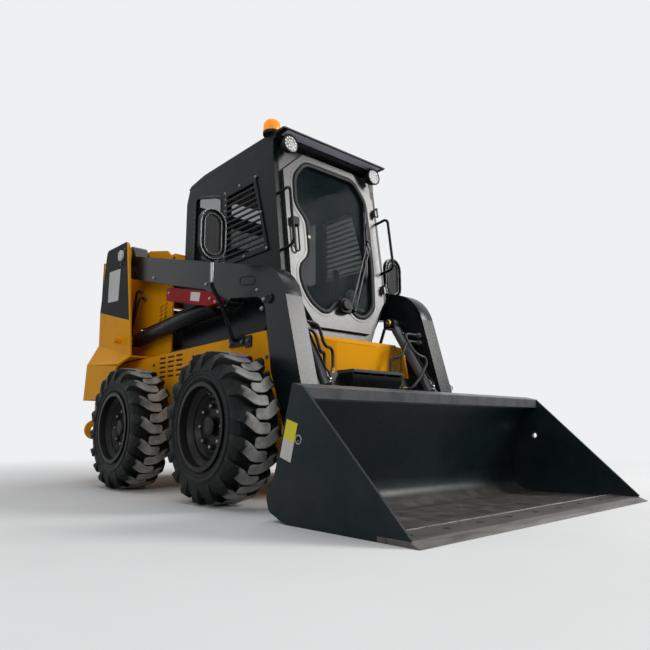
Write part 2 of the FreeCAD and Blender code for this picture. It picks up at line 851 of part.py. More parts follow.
def make_cab():
    side = new_body("cab_side_left")
    slope = "(cab_front_low - cab_front_top) / (cab_top - cab_low)"
    profile = (
        ("-cab_front_low + corner_back", "cab_low"),
        (f"-cab_front_low + corner_cut * {slope}", "cab_low + corner_cut"),
        ("-cab_front_top", "cab_top"),
        ("-cab_front_top", "roof_top - 46"),
        ("cab_rear - 40", "roof_top - 46"),
        ("cab_rear", "roof_top - 150"),
        ("cab_rear", "cab_low"),
    )
    low, high = "cab_half - cab_wall", "cab_half"
    sketch, _ = slab(side, "YZ_Plane", profile, low, high)
    front_window = (
        ("-cab_front_low + 190", "window_low"),
        ("-cab_front_low + 330", "window_top"),
        ("-40", "window_top"),
        ("-40", "window_low"),
    )
    rear_window = (
        ("30", "window_low"),
        ("30", "window_top + 15"),
        ("cab_rear - 130", "window_top + 110"),
        ("cab_rear - 130", "window_low"),
    )
    for window in (front_window, rear_window):
        cut(side, "YZ_Plane", window, f"{low} - 1", f"{high} + 1")
    left = finish("cab_side_left", side)
    mirrored("cab_side_right", left)
    panes = new_body("side_windows")
    front_pane = (
        ("-cab_front_low + 190.5", "window_low + seat_gap"),
        ("-cab_front_low + 330.3", "window_top - seat_gap"),
        ("-40 - seat_gap", "window_top - seat_gap"),
        ("-40 - seat_gap", "window_low + seat_gap"),
    )
    rear_pane = (
        ("30 + seat_gap", "window_low + seat_gap"),
        ("30 + seat_gap", "window_top + 14.6"),
        ("cab_rear - 130 - seat_gap", "window_top + 109.6"),
        ("cab_rear - 130 - seat_gap", "window_low + seat_gap"),
    )
    middle = "cab_half - cab_wall / 2"
    for pane in (front_pane, rear_pane):
        slab(panes, "YZ_Plane", pane, f"{middle} - glass_thick / 2", f"{middle} + glass_thick / 2")
        slab(panes, "YZ_Plane", pane, f"-({middle}) - glass_thick / 2", f"-({middle}) + glass_thick / 2")
    finish("side_windows", panes)

    # a slatted screen outside each front side window
    screens = new_body("side_screens")
    edge = (
        ("-cab_front_low + 160", "window_low - 30"),
        ("-cab_front_low + 312", "window_top + 26"),
        ("-14", "window_top + 26"),
        ("-14", "window_low - 30"),
    )
    for low_x, high_x in (("cab_half + seat_gap", "cab_half + 9"), ("-cab_half - 9", "-cab_half - seat_gap")):
        slab(screens, "YZ_Plane", edge, low_x, high_x)
        for line in range(int(size["screen_slots"])):
            z = f"window_low + {line} * screen_pitch"
            start = f"-cab_front_low + 190 + {line} * 0.3 * screen_pitch"
            slot = (
                (start, z),
                (f"{start} + 7", f"{z} + screen_pitch - 14"),
                ("-54", f"{z} + screen_pitch - 14"),
                ("-54", z),
            )
            cut(screens, "YZ_Plane", slot, f"{low_x} - 1", f"{high_x} + 1")
    finish("side_screens", screens)

    front = new_body("cab_front_frame")
    ring = (
        ("-door_low_half - 28", "0"),
        ("-cab_half + cab_wall + seat_gap", "corner_cut"),
        ("-cab_half + cab_wall + seat_gap", "cab_top - cab_low + 90"),
        ("cab_half - cab_wall - seat_gap", "cab_top - cab_low + 90"),
        ("cab_half - cab_wall - seat_gap", "corner_cut"),
        ("door_low_half + 28", "0"),
    )
    hole = (
        ("-door_low_half + 30", "74"),
        ("-door_half + 50", "290"),
        ("-door_half + 50", "1010"),
        ("-door_top_half + 20", "cab_top - cab_low + 40"),
        ("door_top_half - 20", "cab_top - cab_low + 40"),
        ("door_half - 50", "1010"),
        ("door_half - 50", "290"),
        ("door_low_half - 30", "74"),
    )
    slab(front, "XZ_Plane", ring, "-40", "0", CAB_LEAN)
    cut(front, "XZ_Plane", hole, "-60", "20", CAB_LEAN)

    # the slanted corner sheets under the front frame, one on each side
    low_x, top_x = size["door_low_half"] + 28, size["cab_half"] - size["cab_wall"] - size["seat_gap"]
    front_y, step_z = -size["cab_front_low"], size["cab_low"]
    lean_y = size["corner_cut"] * (size["cab_front_low"] - size["cab_front_top"]) / (size["cab_top"] - step_z)
    corners = []
    for side in (-1, 1):
        triangle = (
            (side * top_x, front_y + lean_y + 42, step_z + size["corner_cut"] - 6),
            (side * low_x, front_y + 42, step_z),
            (side * top_x, front_y + size["corner_back"], step_z),
        )
        corners.append(prism(triangle, (-side * 6, 0, 0)))
    finish("cab_corner_sheets", drawn("corner_form", Part.makeCompound(corners)))

    rear = new_body("cab_rear_wall")
    inside = "cab_half - cab_wall - seat_gap"
    wall = (
        (f"-({inside})", "cab_low"),
        (f"-({inside})", "roof_top - 160"),
        (inside, "roof_top - 160"),
        (inside, "cab_low"),
    )
    slab(rear, "XZ_Plane", wall, "-cab_rear + 5", "-cab_rear + 5 + cab_wall")
    pane = (
        ("-cab_half + 110", "window_low - 20"),
        ("-cab_half + 110", "window_top"),
        ("cab_half - 110", "window_top"),
        ("cab_half - 110", "window_low - 20"),
    )
    cut(rear, "XZ_Plane", pane, "-cab_rear", "-cab_rear + 10 + cab_wall")
    finish("cab_rear_wall", rear)
    back_pane = new_body("rear_window")
    sheet_points = (
        ("-cab_half + 110 + seat_gap", "window_low - 20 + seat_gap"),
        ("-cab_half + 110 + seat_gap", "window_top - seat_gap"),
        ("cab_half - 110 - seat_gap", "window_top - seat_gap"),
        ("cab_half - 110 - seat_gap", "window_low - 20 + seat_gap"),
    )
    slab(back_pane, "XZ_Plane", sheet_points, "-cab_rear + 20", "-cab_rear + 20 + glass_thick")
    finish("rear_window", back_pane)

    roof = new_body("cab_roof")
    top = (
        ("-visor_reach", "roof_top - 6 - visor_sheet"),
        ("-visor_reach - 4", "roof_top - visor_sheet"),
        ("-visor_reach + 6", "roof_top - 4"),
        ("-cab_front_top + 60", "roof_top"),
        ("cab_rear - 240", "roof_top"),
        ("cab_rear - 60", "roof_top - 24"),
        ("cab_rear - 20", "roof_top - 45.7"),
        ("-cab_front_top - 18", "roof_top - 45.7"),
        ("-cab_front_top - 30", "roof_top - 6 - visor_sheet"),
    )
    slab(roof, "YZ_Plane", top, "-cab_half", "cab_half")
    finish("cab_roof", roof)

    floor = new_body("cab_floor")
    pan = (
        ("-panel_front + 70", "frame_floor + 90"),
        ("-cab_front_low + 330", "frame_floor + 90"),
        ("-cab_front_low + 330", "cab_low + deck_rise - deck_sheet / 2"),
        ("-cab_front_low + 318", "cab_low + deck_rise - deck_sheet / 2"),
        ("-cab_front_low + 318", "frame_floor + 102"),
        ("-panel_front + 70", "frame_floor + 102"),
    )
    slab(floor, "YZ_Plane", pan, "-case_inner + seat_gap", "case_inner - seat_gap")
    shelf = (
        ("-cab_front_low + 318", "cab_low + deck_rise - deck_sheet"),
        ("cab_rear - 5 - cab_wall - seat_gap", "cab_low + deck_rise - deck_sheet"),
        ("cab_rear - 5 - cab_wall - seat_gap", "cab_low + deck_rise"),
        ("-cab_front_low + 318", "cab_low + deck_rise"),
    )
    slab(floor, "YZ_Plane", shelf, f"-({inside})", inside)
    finish("cab_floor", floor)
    return front


def make_sills():
    """The rails that carry the cab between the frame's side walls."""
    sills = []
    for side in (-1, 1):
        low, high = "cab_half - cab_wall", "frame_half - side_wall - seat_gap"
        if side < 0:
            low, high = f"-({high})", f"-({low})"
        length = ("-cab_front_low + corner_back", "cab_rear")
        sills.append(box("sill", (low, high), length, ("cab_low - 45", "cab_low - seat_gap")))
    finish("cab_sills", joined("cab_sills", sills))


def on_front(x, rise, out):
    """A point by its rise along the leaning front frame and its distance in front of it."""
    drop = size["cab_front_low"] - size["cab_front_top"]
    lean = math.atan(drop / (size["cab_top"] - size["cab_low"]))
    foot = Vector(x, -size["cab_front_low"], size["cab_low"])
    up = Vector(0, math.sin(lean), math.cos(lean))
    forward = Vector(0, -math.cos(lean), math.sin(lean))
    return foot + up * rise + forward * out


# Door, its glass and what is fixed to the cab


def make_door(front_frame):
    low, high = "door_gap", "door_gap + door_thick"
    frame = new_body("door_frame")
    edge = (
        ("-door_low_half", "door_low - cab_low"),
        ("-door_half", "276"),
        ("-door_half", "cab_top - cab_low - 84"),
        ("-door_top_half", "door_top - cab_low"),
        ("door_top_half", "door_top - cab_low"),
        ("door_half", "cab_top - cab_low - 84"),
        ("door_half", "276"),
        ("door_low_half", "door_low - cab_low"),
    )
    # the window is notched for the latch at one side and for the wiper's motor at its foot
    window = (
        ("-motor_half - 70", "glass_low"),
        ("-glass_half + 130", "glass_low"),
        ("-glass_half + 52", "glass_low + 48"),
        ("-glass_half - 6", "glass_low + 152"),
        ("-glass_half - 6", "latch_low - 78"),
        ("-glass_half + latch_reach", "latch_low"),
        ("-glass_half + latch_reach", "latch_high"),
        ("-glass_half - 6", "latch_high + 88"),
        ("-glass_half", "glass_top - 116"),
        ("-glass_half + 92", "glass_top"),
        ("glass_half - 92", "glass_top"),
        ("glass_half", "glass_top - 128"),
        ("glass_half", "glass_low + 352"),
        ("glass_half - 30", "glass_low + 72"),
        ("glass_half - 110", "glass_low"),
        ("motor_half + 62", "glass_low"),
        ("motor_half", "glass_low + motor_rise"),
        ("-motor_half - 2", "glass_low + motor_rise"),
    )
    slab(frame, "XZ_Plane", edge, low, high, CAB_LEAN)
    cut(frame, "XZ_Plane", window, f"{low} - 20", f"{high} + 20", CAB_LEAN)

    # hinges: the knuckles turn on pins that stand on the front frame
    x, out = size["door_half"] + 6, size["door_gap"] + size["door_thick"] + 25
    up = on_front(0, 1, 0) - on_front(0, 0, 0)
    door_side, frame_side = [], []
    for rise in (330, 880):
        knuckle = Part.makeCylinder(9, 44, on_front(x, rise, out), up)
        strap = prism(
            (
                on_front(x - 22, rise, size["door_gap"] + 6),
                on_front(x - 22, rise, out + 4),
                on_front(x, rise, out + 4),
                on_front(x, rise, out - 4),
                on_front(x - 14, rise, out - 4),
                on_front(x - 14, rise, size["door_gap"] + 6),
            ),
            up * 44,
        )
        door_side.append(knuckle.fuse(strap))
        ring = Part.makeCylinder(9, 20, on_front(x, rise + 44 + size["seat_gap"], out), up)
        stand = prism(
            (
                on_front(x - 4, rise + 44 + size["seat_gap"], -8),
                on_front(x - 4, rise + 44 + size["seat_gap"], out),
                on_front(x + 5, rise + 44 + size["seat_gap"], out),
                on_front(x + 5, rise + 44 + size["seat_gap"], -8),
            ),
            up * 20,
        )
        frame_side.append(ring.fuse(stand))
    doc.recompute()
    finish("door_frame", joined("door_frame", [frame, drawn("door_hinges", door_side[0].fuse(door_side[1:]))]))
    fixed = drawn("frame_hinges", frame_side[0].fuse(frame_side[1:]))
    finish("cab_front_frame", joined("cab_front_frame", [front_frame, fixed]))

    # the pane lies behind the frame and laps over the window's edge
    glass = new_body("door_glass")
    pane = (
        ("-glass_half + 122", "glass_low - glass_lap"),
        ("-glass_half - 6 - glass_lap", "glass_low + 140"),
        ("-glass_half - 6 - glass_lap", "glass_top - 110"),
        ("-glass_half + 88", "glass_top + glass_lap"),
        ("glass_half - 88", "glass_top + glass_lap"),
        ("glass_half + glass_lap", "glass_top - 124"),
        ("glass_half + glass_lap", "glass_low + 150"),
        ("glass_half - 18", "glass_low + 66"),
        ("glass_half - 102", "glass_low - glass_lap"),
    )
    slab(glass, "XZ_Plane", pane, f"{low} - seat_gap - glass_thick", f"{low} - seat_gap", CAB_LEAN)
    finish("door_glass", glass)

    # latch housing and its bow handle
    face = size["door_gap"] + size["door_thick"] + size["seat_gap"]
    left, right = -size["glass_half"] - 56, -size["glass_half"] - 6
    low_rise, high_rise = size["latch_low"] + 8, size["latch_high"] - 62
    corners = [on_front(left, high_rise, face), on_front(right, high_rise, face)]
    corners += [on_front(right, high_rise, face + 24), on_front(left, high_rise, face + 24)]
    housing = prism(corners, up * 52)
    bow = pipe(
        (
            on_front(left + 8, high_rise + 12, face + 15),
            on_front(left + 8, low_rise, face + 15),
            on_front(right - 8, low_rise, face + 15),
            on_front(right - 8, high_rise + 12, face + 15),
        ),
        5,
        16,
    )
    finish("door_latch", drawn("latch_form", housing.fuse(bow)))


def make_seat():
    seat = new_body("seat")
    shape = (
        ("-150", "cab_low + deck_rise + seat_gap"),
        ("-160", "cab_low + 262"),
        ("-110", "cab_low + 286"),
        ("190", "cab_low + 262"),
        ("272", "cab_low + 800"),
        ("322", "cab_low + 812"),
        ("368", "cab_low + 770"),
        ("310", "cab_low + 240"),
        ("270", "cab_low + deck_rise + seat_gap"),
    )
    sketch, _ = slab(seat, "YZ_Plane", shape, "-235", "235")
    round_corners(seat, sketch, {1: "30", 4: "18", 5: "18"})
    finish("seat", seat)

    levers = []
    for side in (-1, 1):
        foot = size["cab_low"] + size["deck_rise"] + size["seat_gap"]
        stick = pipe(
            ((side * 268, -250, foot + 6), (side * 268, -300, 1180), (side * 240, -352, 1330)),
            14,
            60,
        )
        grip = Part.makeCylinder(22, 110, Vector(side * 240, -352, 1322), Vector(-side * 0.1, -0.2, 1))
        stand = Part.makeBox(52, 420, 90, Vector(side * 268 - 26, -300, foot))
        levers.append(stick.fuse([grip, stand]))
    finish("control_levers", drawn("lever_form", levers[0].fuse(levers[1:])))


def long_round(x, y, z, half, rise, depth):
    """An upright plate with round ends, facing -Y."""
    low, high = Vector(x, y, z - rise + half), Vector(x, y, z + rise - half)
    across, up = Vector(half, 0, 0), Vector(0, 0, half)
    rim = [
        Part.Arc(high - across, high + up, high + across).toShape(),
        Part.LineSegment(high + across, low + across).toShape(),
        Part.Arc(low + across, low - up, low - across).toShape(),
        Part.LineSegment(low - across, high - across).toShape(),
    ]
    return Part.Face(Part.Wire(rim)).extrude(Vector(0, depth, 0))


def make_roof_fittings():
    # each lamp hangs under the visor on a bracket
    lamps = []
    under = size["roof_top"] - 6 - size["visor_sheet"] - size["seat_gap"]
    for side in (-1, 1):
        centre = Vector(side * size["lamp_x"], -size["lamp_y"], size["lamp_z"])
        body = Part.makeCylinder(size["lamp_radius"] - 8, 20, centre, Vector(0, -1, 0))
        face = Part.makeCylinder(size["lamp_radius"], 32, centre + Vector(0, -18, 0), Vector(0, -1, 0))
        corner = centre + Vector(-16, -34, 30)
        bracket = Part.makeBox(32, 24, under - corner.z, corner)
        lamps.append(face.fuse([body, bracket]))
    finish("work_lamps", drawn("lamp_form", Part.makeCompound(lamps)))

    # the beacon's dome is turned: radius, height
    foot, top = Vector(-412, -500, size["roof_top"] + size["seat_gap"]), 92
    rows = ((0, 0), (50, 0), (50, 20), (47, 24), (46, 58))
    profile = [foot + Vector(r, 0, z) for r, z in rows]
    lines = [Part.LineSegment(start, end).toShape() for start, end in zip(profile, profile[1:])]
    crown = Part.Arc(profile[-1], foot + Vector(38, 0, 80), foot + Vector(18, 0, top)).toShape()
    cap = Part.LineSegment(foot + Vector(18, 0, top), foot + Vector(0, 0, top)).toShape()
    axis = Part.LineSegment(foot + Vector(0, 0, top), foot).toShape()
    dome = Part.Face(Part.Wire(lines + [crown, cap, axis])).revolve(foot, Vector(0, 0, 1), 360)
    finish("beacon", drawn("beacon_form", dome))

    rails = []
    for side in (-1, 1):
        x = side * (size["cab_half"] - 18)
        high, low = on_front(x, 850, size["seat_gap"]), on_front(x, 490, size["seat_gap"])
        rails.append(pipe((high, on_front(x, 850, 112), on_front(x, 490, 112), low), 9, 34))
    finish("grab_rails", drawn("rail_form", Part.makeCompound(rails)))

    mirrors = []
    x, y, z = size["mirror_x"], -size["mirror_y"], size["mirror_z"]
    for side in (-1, 1):
        wall = side * (size["frame_half"] + 0.3)
        stem = pipe(
            (
                (wall, y, 872),
                (side * 592, y, 872),
                (side * 676, y, 1068),
                (side * 742, y, 1167),
                (side * 745, y, z + 50),
            ),
            11,
            60,
        )
        foot = Part.makeBox(12, 150, 66, Vector(min(wall, wall + side * 12), y - 75, 836))
        rim = long_round(side * x, y - 24, z, size["mirror_half"], size["mirror_rise"], 22)
        rim = rim.cut(
            long_round(
                side * x,
                y - 30,
                z,
                size["mirror_half"] - size["mirror_rim"],
                size["mirror_rise"] - size["mirror_rim"],
                24,
            )
        )
        mirrors.append(stem.fuse([foot, rim]))
    finish("mirrors", drawn("mirror_form", Part.makeCompound(mirrors)))


# Lift arms: a sloping beam, a rounded knee and a leg down to the bucket's hinge


def make_arms():
    arm = new_body("arm_left")
    rise = "(pivot_z + 12 - knee_z) / (pivot_y + knee_y)"
    side = (
        ("pivot_y + arm_eye", "pivot_z + arm_eye"),
        ("pivot_y - 60", "pivot_z + arm_eye"),
        ("pivot_y - 122", f"pivot_z + 12 - 122 * {rise}"),
        ("-knee_y", "knee_z"),
        ("-foot_y - foot_eye + 4", "foot_z + 80"),
        ("-foot_y - foot_eye", "foot_z - foot_eye"),
        ("-foot_y + foot_eye", "foot_z - foot_eye"),
        ("-knee_y + 80", "672"),
        ("-knee_y + 147", "1073"),
        ("-lift_eye_y - 92", "lift_eye_z - 8"),
        ("-lift_eye_y - 46", "lift_eye_z - 48"),
        ("-lift_eye_y + 46", "lift_eye_z - 48"),
        ("-lift_eye_y + 200", "1225"),
        ("pivot_y - 60", "pivot_z - 186"),
        ("pivot_y + arm_eye", "pivot_z - 60"),
    )
    low, high = "arm_outer - arm_width", "arm_outer"
    sketch, _ = slab(arm, "YZ_Plane", side, low, high)
    round_corners(
        arm,
        sketch,
        {
            0: "arm_eye - 4",
            1: "40",
            3: "knee_round",
            5: "foot_eye - 4",
            6: "foot_eye - 4",
            8: "110",
            10: "36",
            11: "36",
            13: "120",
        },
    )
    # the lift cylinder's eye runs between the arm's two side plates
    room = (
        ("-lift_eye_y - 84", "lift_eye_z - 110"),
        ("-lift_eye_y - 84", "lift_eye_z + lift_lug + 10"),
        ("-lift_eye_y + 90", "lift_eye_z + lift_lug + 18"),
        ("-lift_eye_y + 220", "lift_eye_z + lift_lug + 60"),
        ("-lift_eye_y + 220", "lift_eye_z - 110"),
    )
    cut(arm, "YZ_Plane", room, f"{low} + arm_plate", f"{high} - arm_plate")
    bore(arm, "YZ_Plane", ("pivot_y", "pivot_z"), "pivot_pin + pin_play", f"{low} - 1", f"{high} + 1")
    bore(arm, "YZ_Plane", ("-foot_y", "foot_z"), "foot_pin + pin_play", f"{low} - 1", f"{high} + 1")
    # the bracket that carries the tilt cylinder on the arm's inner side
    web = (
        ("-tilt_base_y + 38", "tilt_base_z - 34"),
        ("-tilt_base_y + 38", "tilt_base_z + 34"),
        ("-tilt_base_y + 50", "tilt_base_z + 34"),
        ("-tilt_base_y + 50", "tilt_base_z - 34"),
    )
    ear = (
        ("-tilt_base_y - 34", "tilt_base_z - 30"),
        ("-tilt_base_y - 34", "tilt_base_z + 20"),
        ("-tilt_base_y - 18", "tilt_base_z + 34"),
        ("-tilt_base_y + 50", "tilt_base_z + 34"),
        ("-tilt_base_y + 50", "tilt_base_z - 34"),
        ("-tilt_base_y - 20", "tilt_base_z - 34"),
    )
    inside = "tilt_x - tilt_width / 2 - 3"
    outside = "tilt_x + tilt_width / 2 + 3"
    slab(arm, "YZ_Plane", web, inside, f"{low} + 1")
    slab(arm, "YZ_Plane", ear, f"{inside} - ear_plate", inside)
    boss(arm, "YZ_Plane", ("-tilt_base_y", "tilt_base_z"), "tilt_pin + 12", outside, f"{low} + 1")
    boss(arm, "YZ_Plane", ("-tilt_base_y", "tilt_base_z"), "tilt_pin", f"{inside} - ear_plate - 4", outside)
    left = finish("arm_left", arm)
    mirrored("arm_right", left)

    # the front cross-member passes behind the tilt cylinders and carries a step between them
    front = new_body("arm_cross_front")
    beam = (
        ("-foot_y + 218", "beam_low"),
        ("-foot_y + 218", "step_z - 18"),
        ("-foot_y + 164", "step_z - 18"),
        ("-foot_y + 110", "beam_low"),
    )
    slab(front, "YZ_Plane", beam, f"-({low}) + seat_gap", f"{low} - seat_gap")
    gusset = (
        ("-foot_y + 170", "step_z - 18"),
        ("-foot_y + 76", "step_z - 18"),
        ("-foot_y + 76", "step_z - 42"),
        ("-foot_y + 116", "beam_low"),
        ("-foot_y + 130", "beam_low"),
    )
    for x in ("-step_half + 2", "-70", "58", "step_half - 14"):
        slab(front, "YZ_Plane", gusset, x, f"{x} + 12")
    finish("arm_cross_front", front)
    step = box(
        "step",
        ("-step_half", "step_half"),
        ("-foot_y + 66", "-foot_y + 200"),
        ("step_z - 18 + seat_gap", "step_z"),
    )
    finish("front_step", step)

    strut = new_body("safety_strut")
    bar = (
        ("-306", "1120"),
        ("-144", "1198"),
        ("373", "1318"),
        ("373", "1226"),
        ("147", "1174"),
        ("-172", "1102"),
        ("-306", "1100"),
    )
    slab(strut, "YZ_Plane", bar, "-arm_outer - 34", "-arm_outer - 0.3")
    finish("safety_strut", strut)


# Hoses, each held at both ends by the body that carries it


def hose(points):
    """A hose along its route, with a crimped fitting at each end."""
    points = [Vector(*p) for p in points]
    ends = []
    for end, inner in ((points[0], points[1]), (points[-1], points[-2])):
        along = (inner - end).normalize()
        ends.append(Part.makeCylinder(size["fitting_radius"], size["fitting_length"], end, along))
    return pipe(points, size["hose_radius"], size["hose_bend"]).fuse(ends)


def make_hoses():
    gap = size["seat_gap"]
    # in each tower, from the inner plate down to the shelf behind the lift cylinder
    plate, shelf = size["tower_inner"] + gap, size["tower_foot"] + 6 + gap
    routes = (
        ((plate, 1095, 1440), (plate + 46, 1095, 1440), (plate + 44, 1150, 1190), (plate + 44, 1150, shelf)),
        (
            (plate, 1010, 1370),
            (plate + 60, 1010, 1370),
            (plate + 70, 1085, 1150),
            (plate + 76, 1190, 1010),
            (plate + 76, 1190, shelf),
        ),
    )
    hoses = []
    for side in (-1, 1):
        for route in routes:
            hoses.append(hose([(side * x, y, z) for x, y, z in route]))
    finish("tower_hoses", drawn("tower_hose_form", Part.makeCompound(hoses)))

    # between the arms, from each leg's inner face over the cross-member
    leg, beam = size["arm_outer"] - size["arm_width"] - gap, size["step_z"] - 18 + gap
    front = -917.4
    routes = (
        ((-leg, -880, 930), (-368, -880, 930), (-322, -880, 806), (-236, -850, 812), (-236, -850, beam)),
        ((-leg, -880, 890), (-395, -880, 890), (-350, -880, 770), (-298, -850, 786), (-298, -850, beam)),
        (
            (leg, -872, 950),
            (336, -872, 950),
            (312, -975, 806),
            (438, -980, 790),
            (338, -980, 660),
            (270, -975, 600),
            (270, front, 600),
        ),
        ((leg, -872, 905), (360, -872, 905), (300, -880, 800), (236, -850, 790), (236, -850, beam)),
    )
    finish("arm_hoses", drawn("arm_hose_form", Part.makeCompound([hose(route) for route in routes])))


# Hydraulic cylinders: each a barrel on its base pin and a rod that slides out of it


def ram(label, base, eye, radius, rod, barrel, lug, pin, width):
    along = (eye - base).normalize()
    length = (eye - base).Length
    side = Vector(1, 0, 0)
    wall = 8
    gland = 40
    shoulder = lug + 20
    ring = Part.makeCylinder(lug, width, base - side * width / 2, side)
    neck = Part.makeCylinder(width / 2, shoulder, base, along)
    tube = Part.makeCylinder(radius, barrel - shoulder, base + along * shoulder, along)
    bottom = shoulder + 10
    hollow = Part.makeCylinder(radius - wall, barrel - gland - bottom, base + along * bottom, along)
    throat = Part.makeCylinder(rod + 0.2, gland + 20, base + along * (barrel - gland - 10), along)
    hole = Part.makeCylinder(pin + size["pin_play"], width + 20, base - side * (width / 2 + 10), side)
    barrel_form = ring.fuse([neck, tube]).cut(hollow).cut(throat).cut(hole)
    start = lug + 40 if label == "lift" else lug + 130
    shaft = Part.makeCylinder(rod, length - start, base + along * start, along)
    piston = Part.makeCylinder(radius - wall - 0.4, 42, base + along * start, along)
    end = Part.makeCylinder(lug, width, eye - side * width / 2, side)
    stub = Part.makeCylinder(pin, width + 34, eye - side * (width / 2 + 17), side)
    rod_form = shaft.fuse([piston, end, stub])
    return barrel_form, rod_form


def make_rams():
    for kind, stub in (("lift", 1), ("tilt", -1)):
        x = size[f"{kind}_x"]
        base_y = size[f"{kind}_base_y"] * stub
        base = Vector(x, base_y, size[f"{kind}_base_z"])
        eye = Vector(x, -size[f"{kind}_eye_y"], size[f"{kind}_eye_z"])
        parts = ram(
            kind,
            base,
            eye,
            size[f"{kind}_radius"],
            size[f"{kind}_rod"],
            size[f"{kind}_barrel"],
            size[f"{kind}_lug"],
            size[f"{kind}_pin"],
            size[f"{kind}_width"],
        )
        for name, shape in zip(("barrel", "rod"), parts):
            left = finish(f"{kind}_{name}_left", drawn(f"{kind}_{name}", shape))
            mirrored(f"{kind}_{name}_right", left)


# Bucket and its carrier


def make_bucket():
    lean = "(bucket_back_y - bucket_heel - 34) / (bucket_back_z - 100)"

    def back(z, off):
        return (f"-bucket_back_y + (bucket_back_z - ({z})) * {lean} + {off}", z)

    hitch = new_body("quick_attach")
    plate = (
        back("hitch_low", "seat_gap"),
        back("hitch_top", "seat_gap"),
        back("hitch_top", "seat_gap + hitch_plate"),
        back("hitch_low", "seat_gap + hitch_plate"),
    )
    slab(hitch, "YZ_Plane", plate, "-hitch_half - 70", "hitch_half + 70")
    hinge_ear = (
        back("hitch_low", "seat_gap + 4"),
        back("330", "seat_gap + 4"),
        ("-foot_y - 30", "foot_z + 60"),
        ("-foot_y + 46", "foot_z + 30"),
        ("-foot_y + 46", "foot_z - 46"),
        ("-foot_y - 40", "foot_z - 56"),
    )
    tilt_ear = (
        back("320", "seat_gap + 4"),
        back("hitch_top - 4", "seat_gap + 4"),
        ("-tilt_eye_y - 20", "tilt_eye_z + 40"),
        ("-tilt_eye_y + 34", "tilt_eye_z + 22"),
        ("-tilt_eye_y + 34", "tilt_eye_z - 34"),
    )
    arm_in, arm_out = "arm_outer - arm_width - side_play", "arm_outer + side_play"
    eye_in = "tilt_x - tilt_width / 2 - 18"
    eye_out = "tilt_x + tilt_width / 2 + 18"
    pairs = (
        (hinge_ear, f"{arm_in} - ear_plate", arm_in),
        (hinge_ear, arm_out, f"{arm_out} + ear_plate"),
        (tilt_ear, f"{eye_in} - ear_plate", eye_in),
        (tilt_ear, eye_out, f"{eye_out} + ear_plate"),
    )
    for shape, low, high in pairs:
        slab(hitch, "YZ_Plane", shape, low, high)
        slab(hitch, "YZ_Plane", shape, f"-({high})", f"-({low})")
    inner, outer = f"{arm_in} - ear_plate", f"{arm_out} + ear_plate"
    for low, high in ((inner, outer), (f"-({outer})", f"-({inner})")):
        boss(hitch, "YZ_Plane", ("-foot_y", "foot_z"), "foot_pin", low, high)
    finish("quick_attach", hitch)

    bucket = new_body("bucket")
    outer = (
        ("-edge_rear - 120", "0"),
        ("-bucket_heel - 130", "0"),
        ("-bucket_heel - 18", "40"),
        ("-bucket_heel", "100"),
        back("200", "0"),
        ("-bucket_back_y", "bucket_back_z"),
        ("-bucket_back_y - bucket_lip", "bucket_back_z - 16"),
        ("-front_reach + 38", "edge_thick + 6"),
    )
    sketch, _ = slab(bucket, "YZ_Plane", outer, "-bucket_half", "bucket_half")
    round_corners(bucket, sketch, {1: "60", 2: "40", 3: "30"})
    room = (
        ("-front_reach - 60", "edge_thick + 0.5"),
        ("-edge_rear - 8", "edge_thick + 0.5"),
        ("-edge_rear + 4", "bucket_sheet"),
        ("-bucket_heel - 132", "bucket_sheet"),
        ("-bucket_heel - 30", "50"),
        ("-bucket_heel - bucket_sheet - 6", "100"),
        back("200", "-bucket_sheet"),
        back("bucket_back_z - bucket_lip_drop", "-bucket_sheet"),
        ("-bucket_back_y - bucket_lip - 4", "bucket_back_z - bucket_lip_drop - 6"),
        ("-bucket_back_y - bucket_lip - 4", "bucket_back_z + 60"),
        ("-front_reach - 60", "bucket_back_z + 60"),
    )
    cut(bucket, "YZ_Plane", room, "-bucket_half + bucket_side", "bucket_half - bucket_side")
    under = (
        ("-edge_rear - 200", "-10"),
        ("-edge_rear - 200", "edge_thick + 0.5"),
        ("-edge_rear - 4", "edge_thick + 0.5"),
        ("-edge_rear - 4", "-10"),
    )
    cut(bucket, "YZ_Plane", under, "-bucket_half - 5", "bucket_half + 5")
    bore(bucket, "YZ_Plane", ("-hook_y", "hook_z"), "hook_hole", "-bucket_half - 5", "bucket_half + 5")
    finish("bucket", bucket)

    edge = new_body("cutting_edge")
    blade = (
        ("-front_reach", "2"),
        ("-front_reach + 46", "edge_thick"),
        ("-edge_rear - 4", "edge_thick"),
        ("-edge_rear - 4", "0"),
        ("-front_reach + 6", "0"),
    )
    slab(edge, "YZ_Plane", blade, "-bucket_half", "bucket_half")
    finish("cutting_edge", edge)


for make in (make_wheels, make_frame, make_towers, make_rear):
    make()
front_frame = make_cab()
make_sills()
make_door(front_frame)
for make in (make_seat, make_roof_fittings, make_arms, make_hoses, make_rams, make_bucket):
    make()
doc.recompute()

faults = [thing.Name for thing in doc.Objects if {"Invalid", "Error"} & set(thing.State)]
for label, thing in OUT.items():
    if thing.Shape.isNull() or not thing.Shape.isValid() or not thing.Shape.Solids:
        faults.append(label)
if faults:
    raise RuntimeError(f"failed: {faults}")

os.makedirs("parts", exist_ok=True)
for label, thing in OUT.items():
    thing.Shape.exportStep(f"parts/{label}.step")
print(len(OUT), "sub-parts written")
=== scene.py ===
# %% [markdown]
# # Skid steer loader
# The imported model comes in first as a fixed frame: every steel part is already in its place. What
# follows dresses it. A piece that moves with the arms rides on the arms, and a piece of the door rides on the
# door.

# %% Load the frame
import json
import math
import random

import bmesh
import bpy
from mathutils import Matrix, Vector


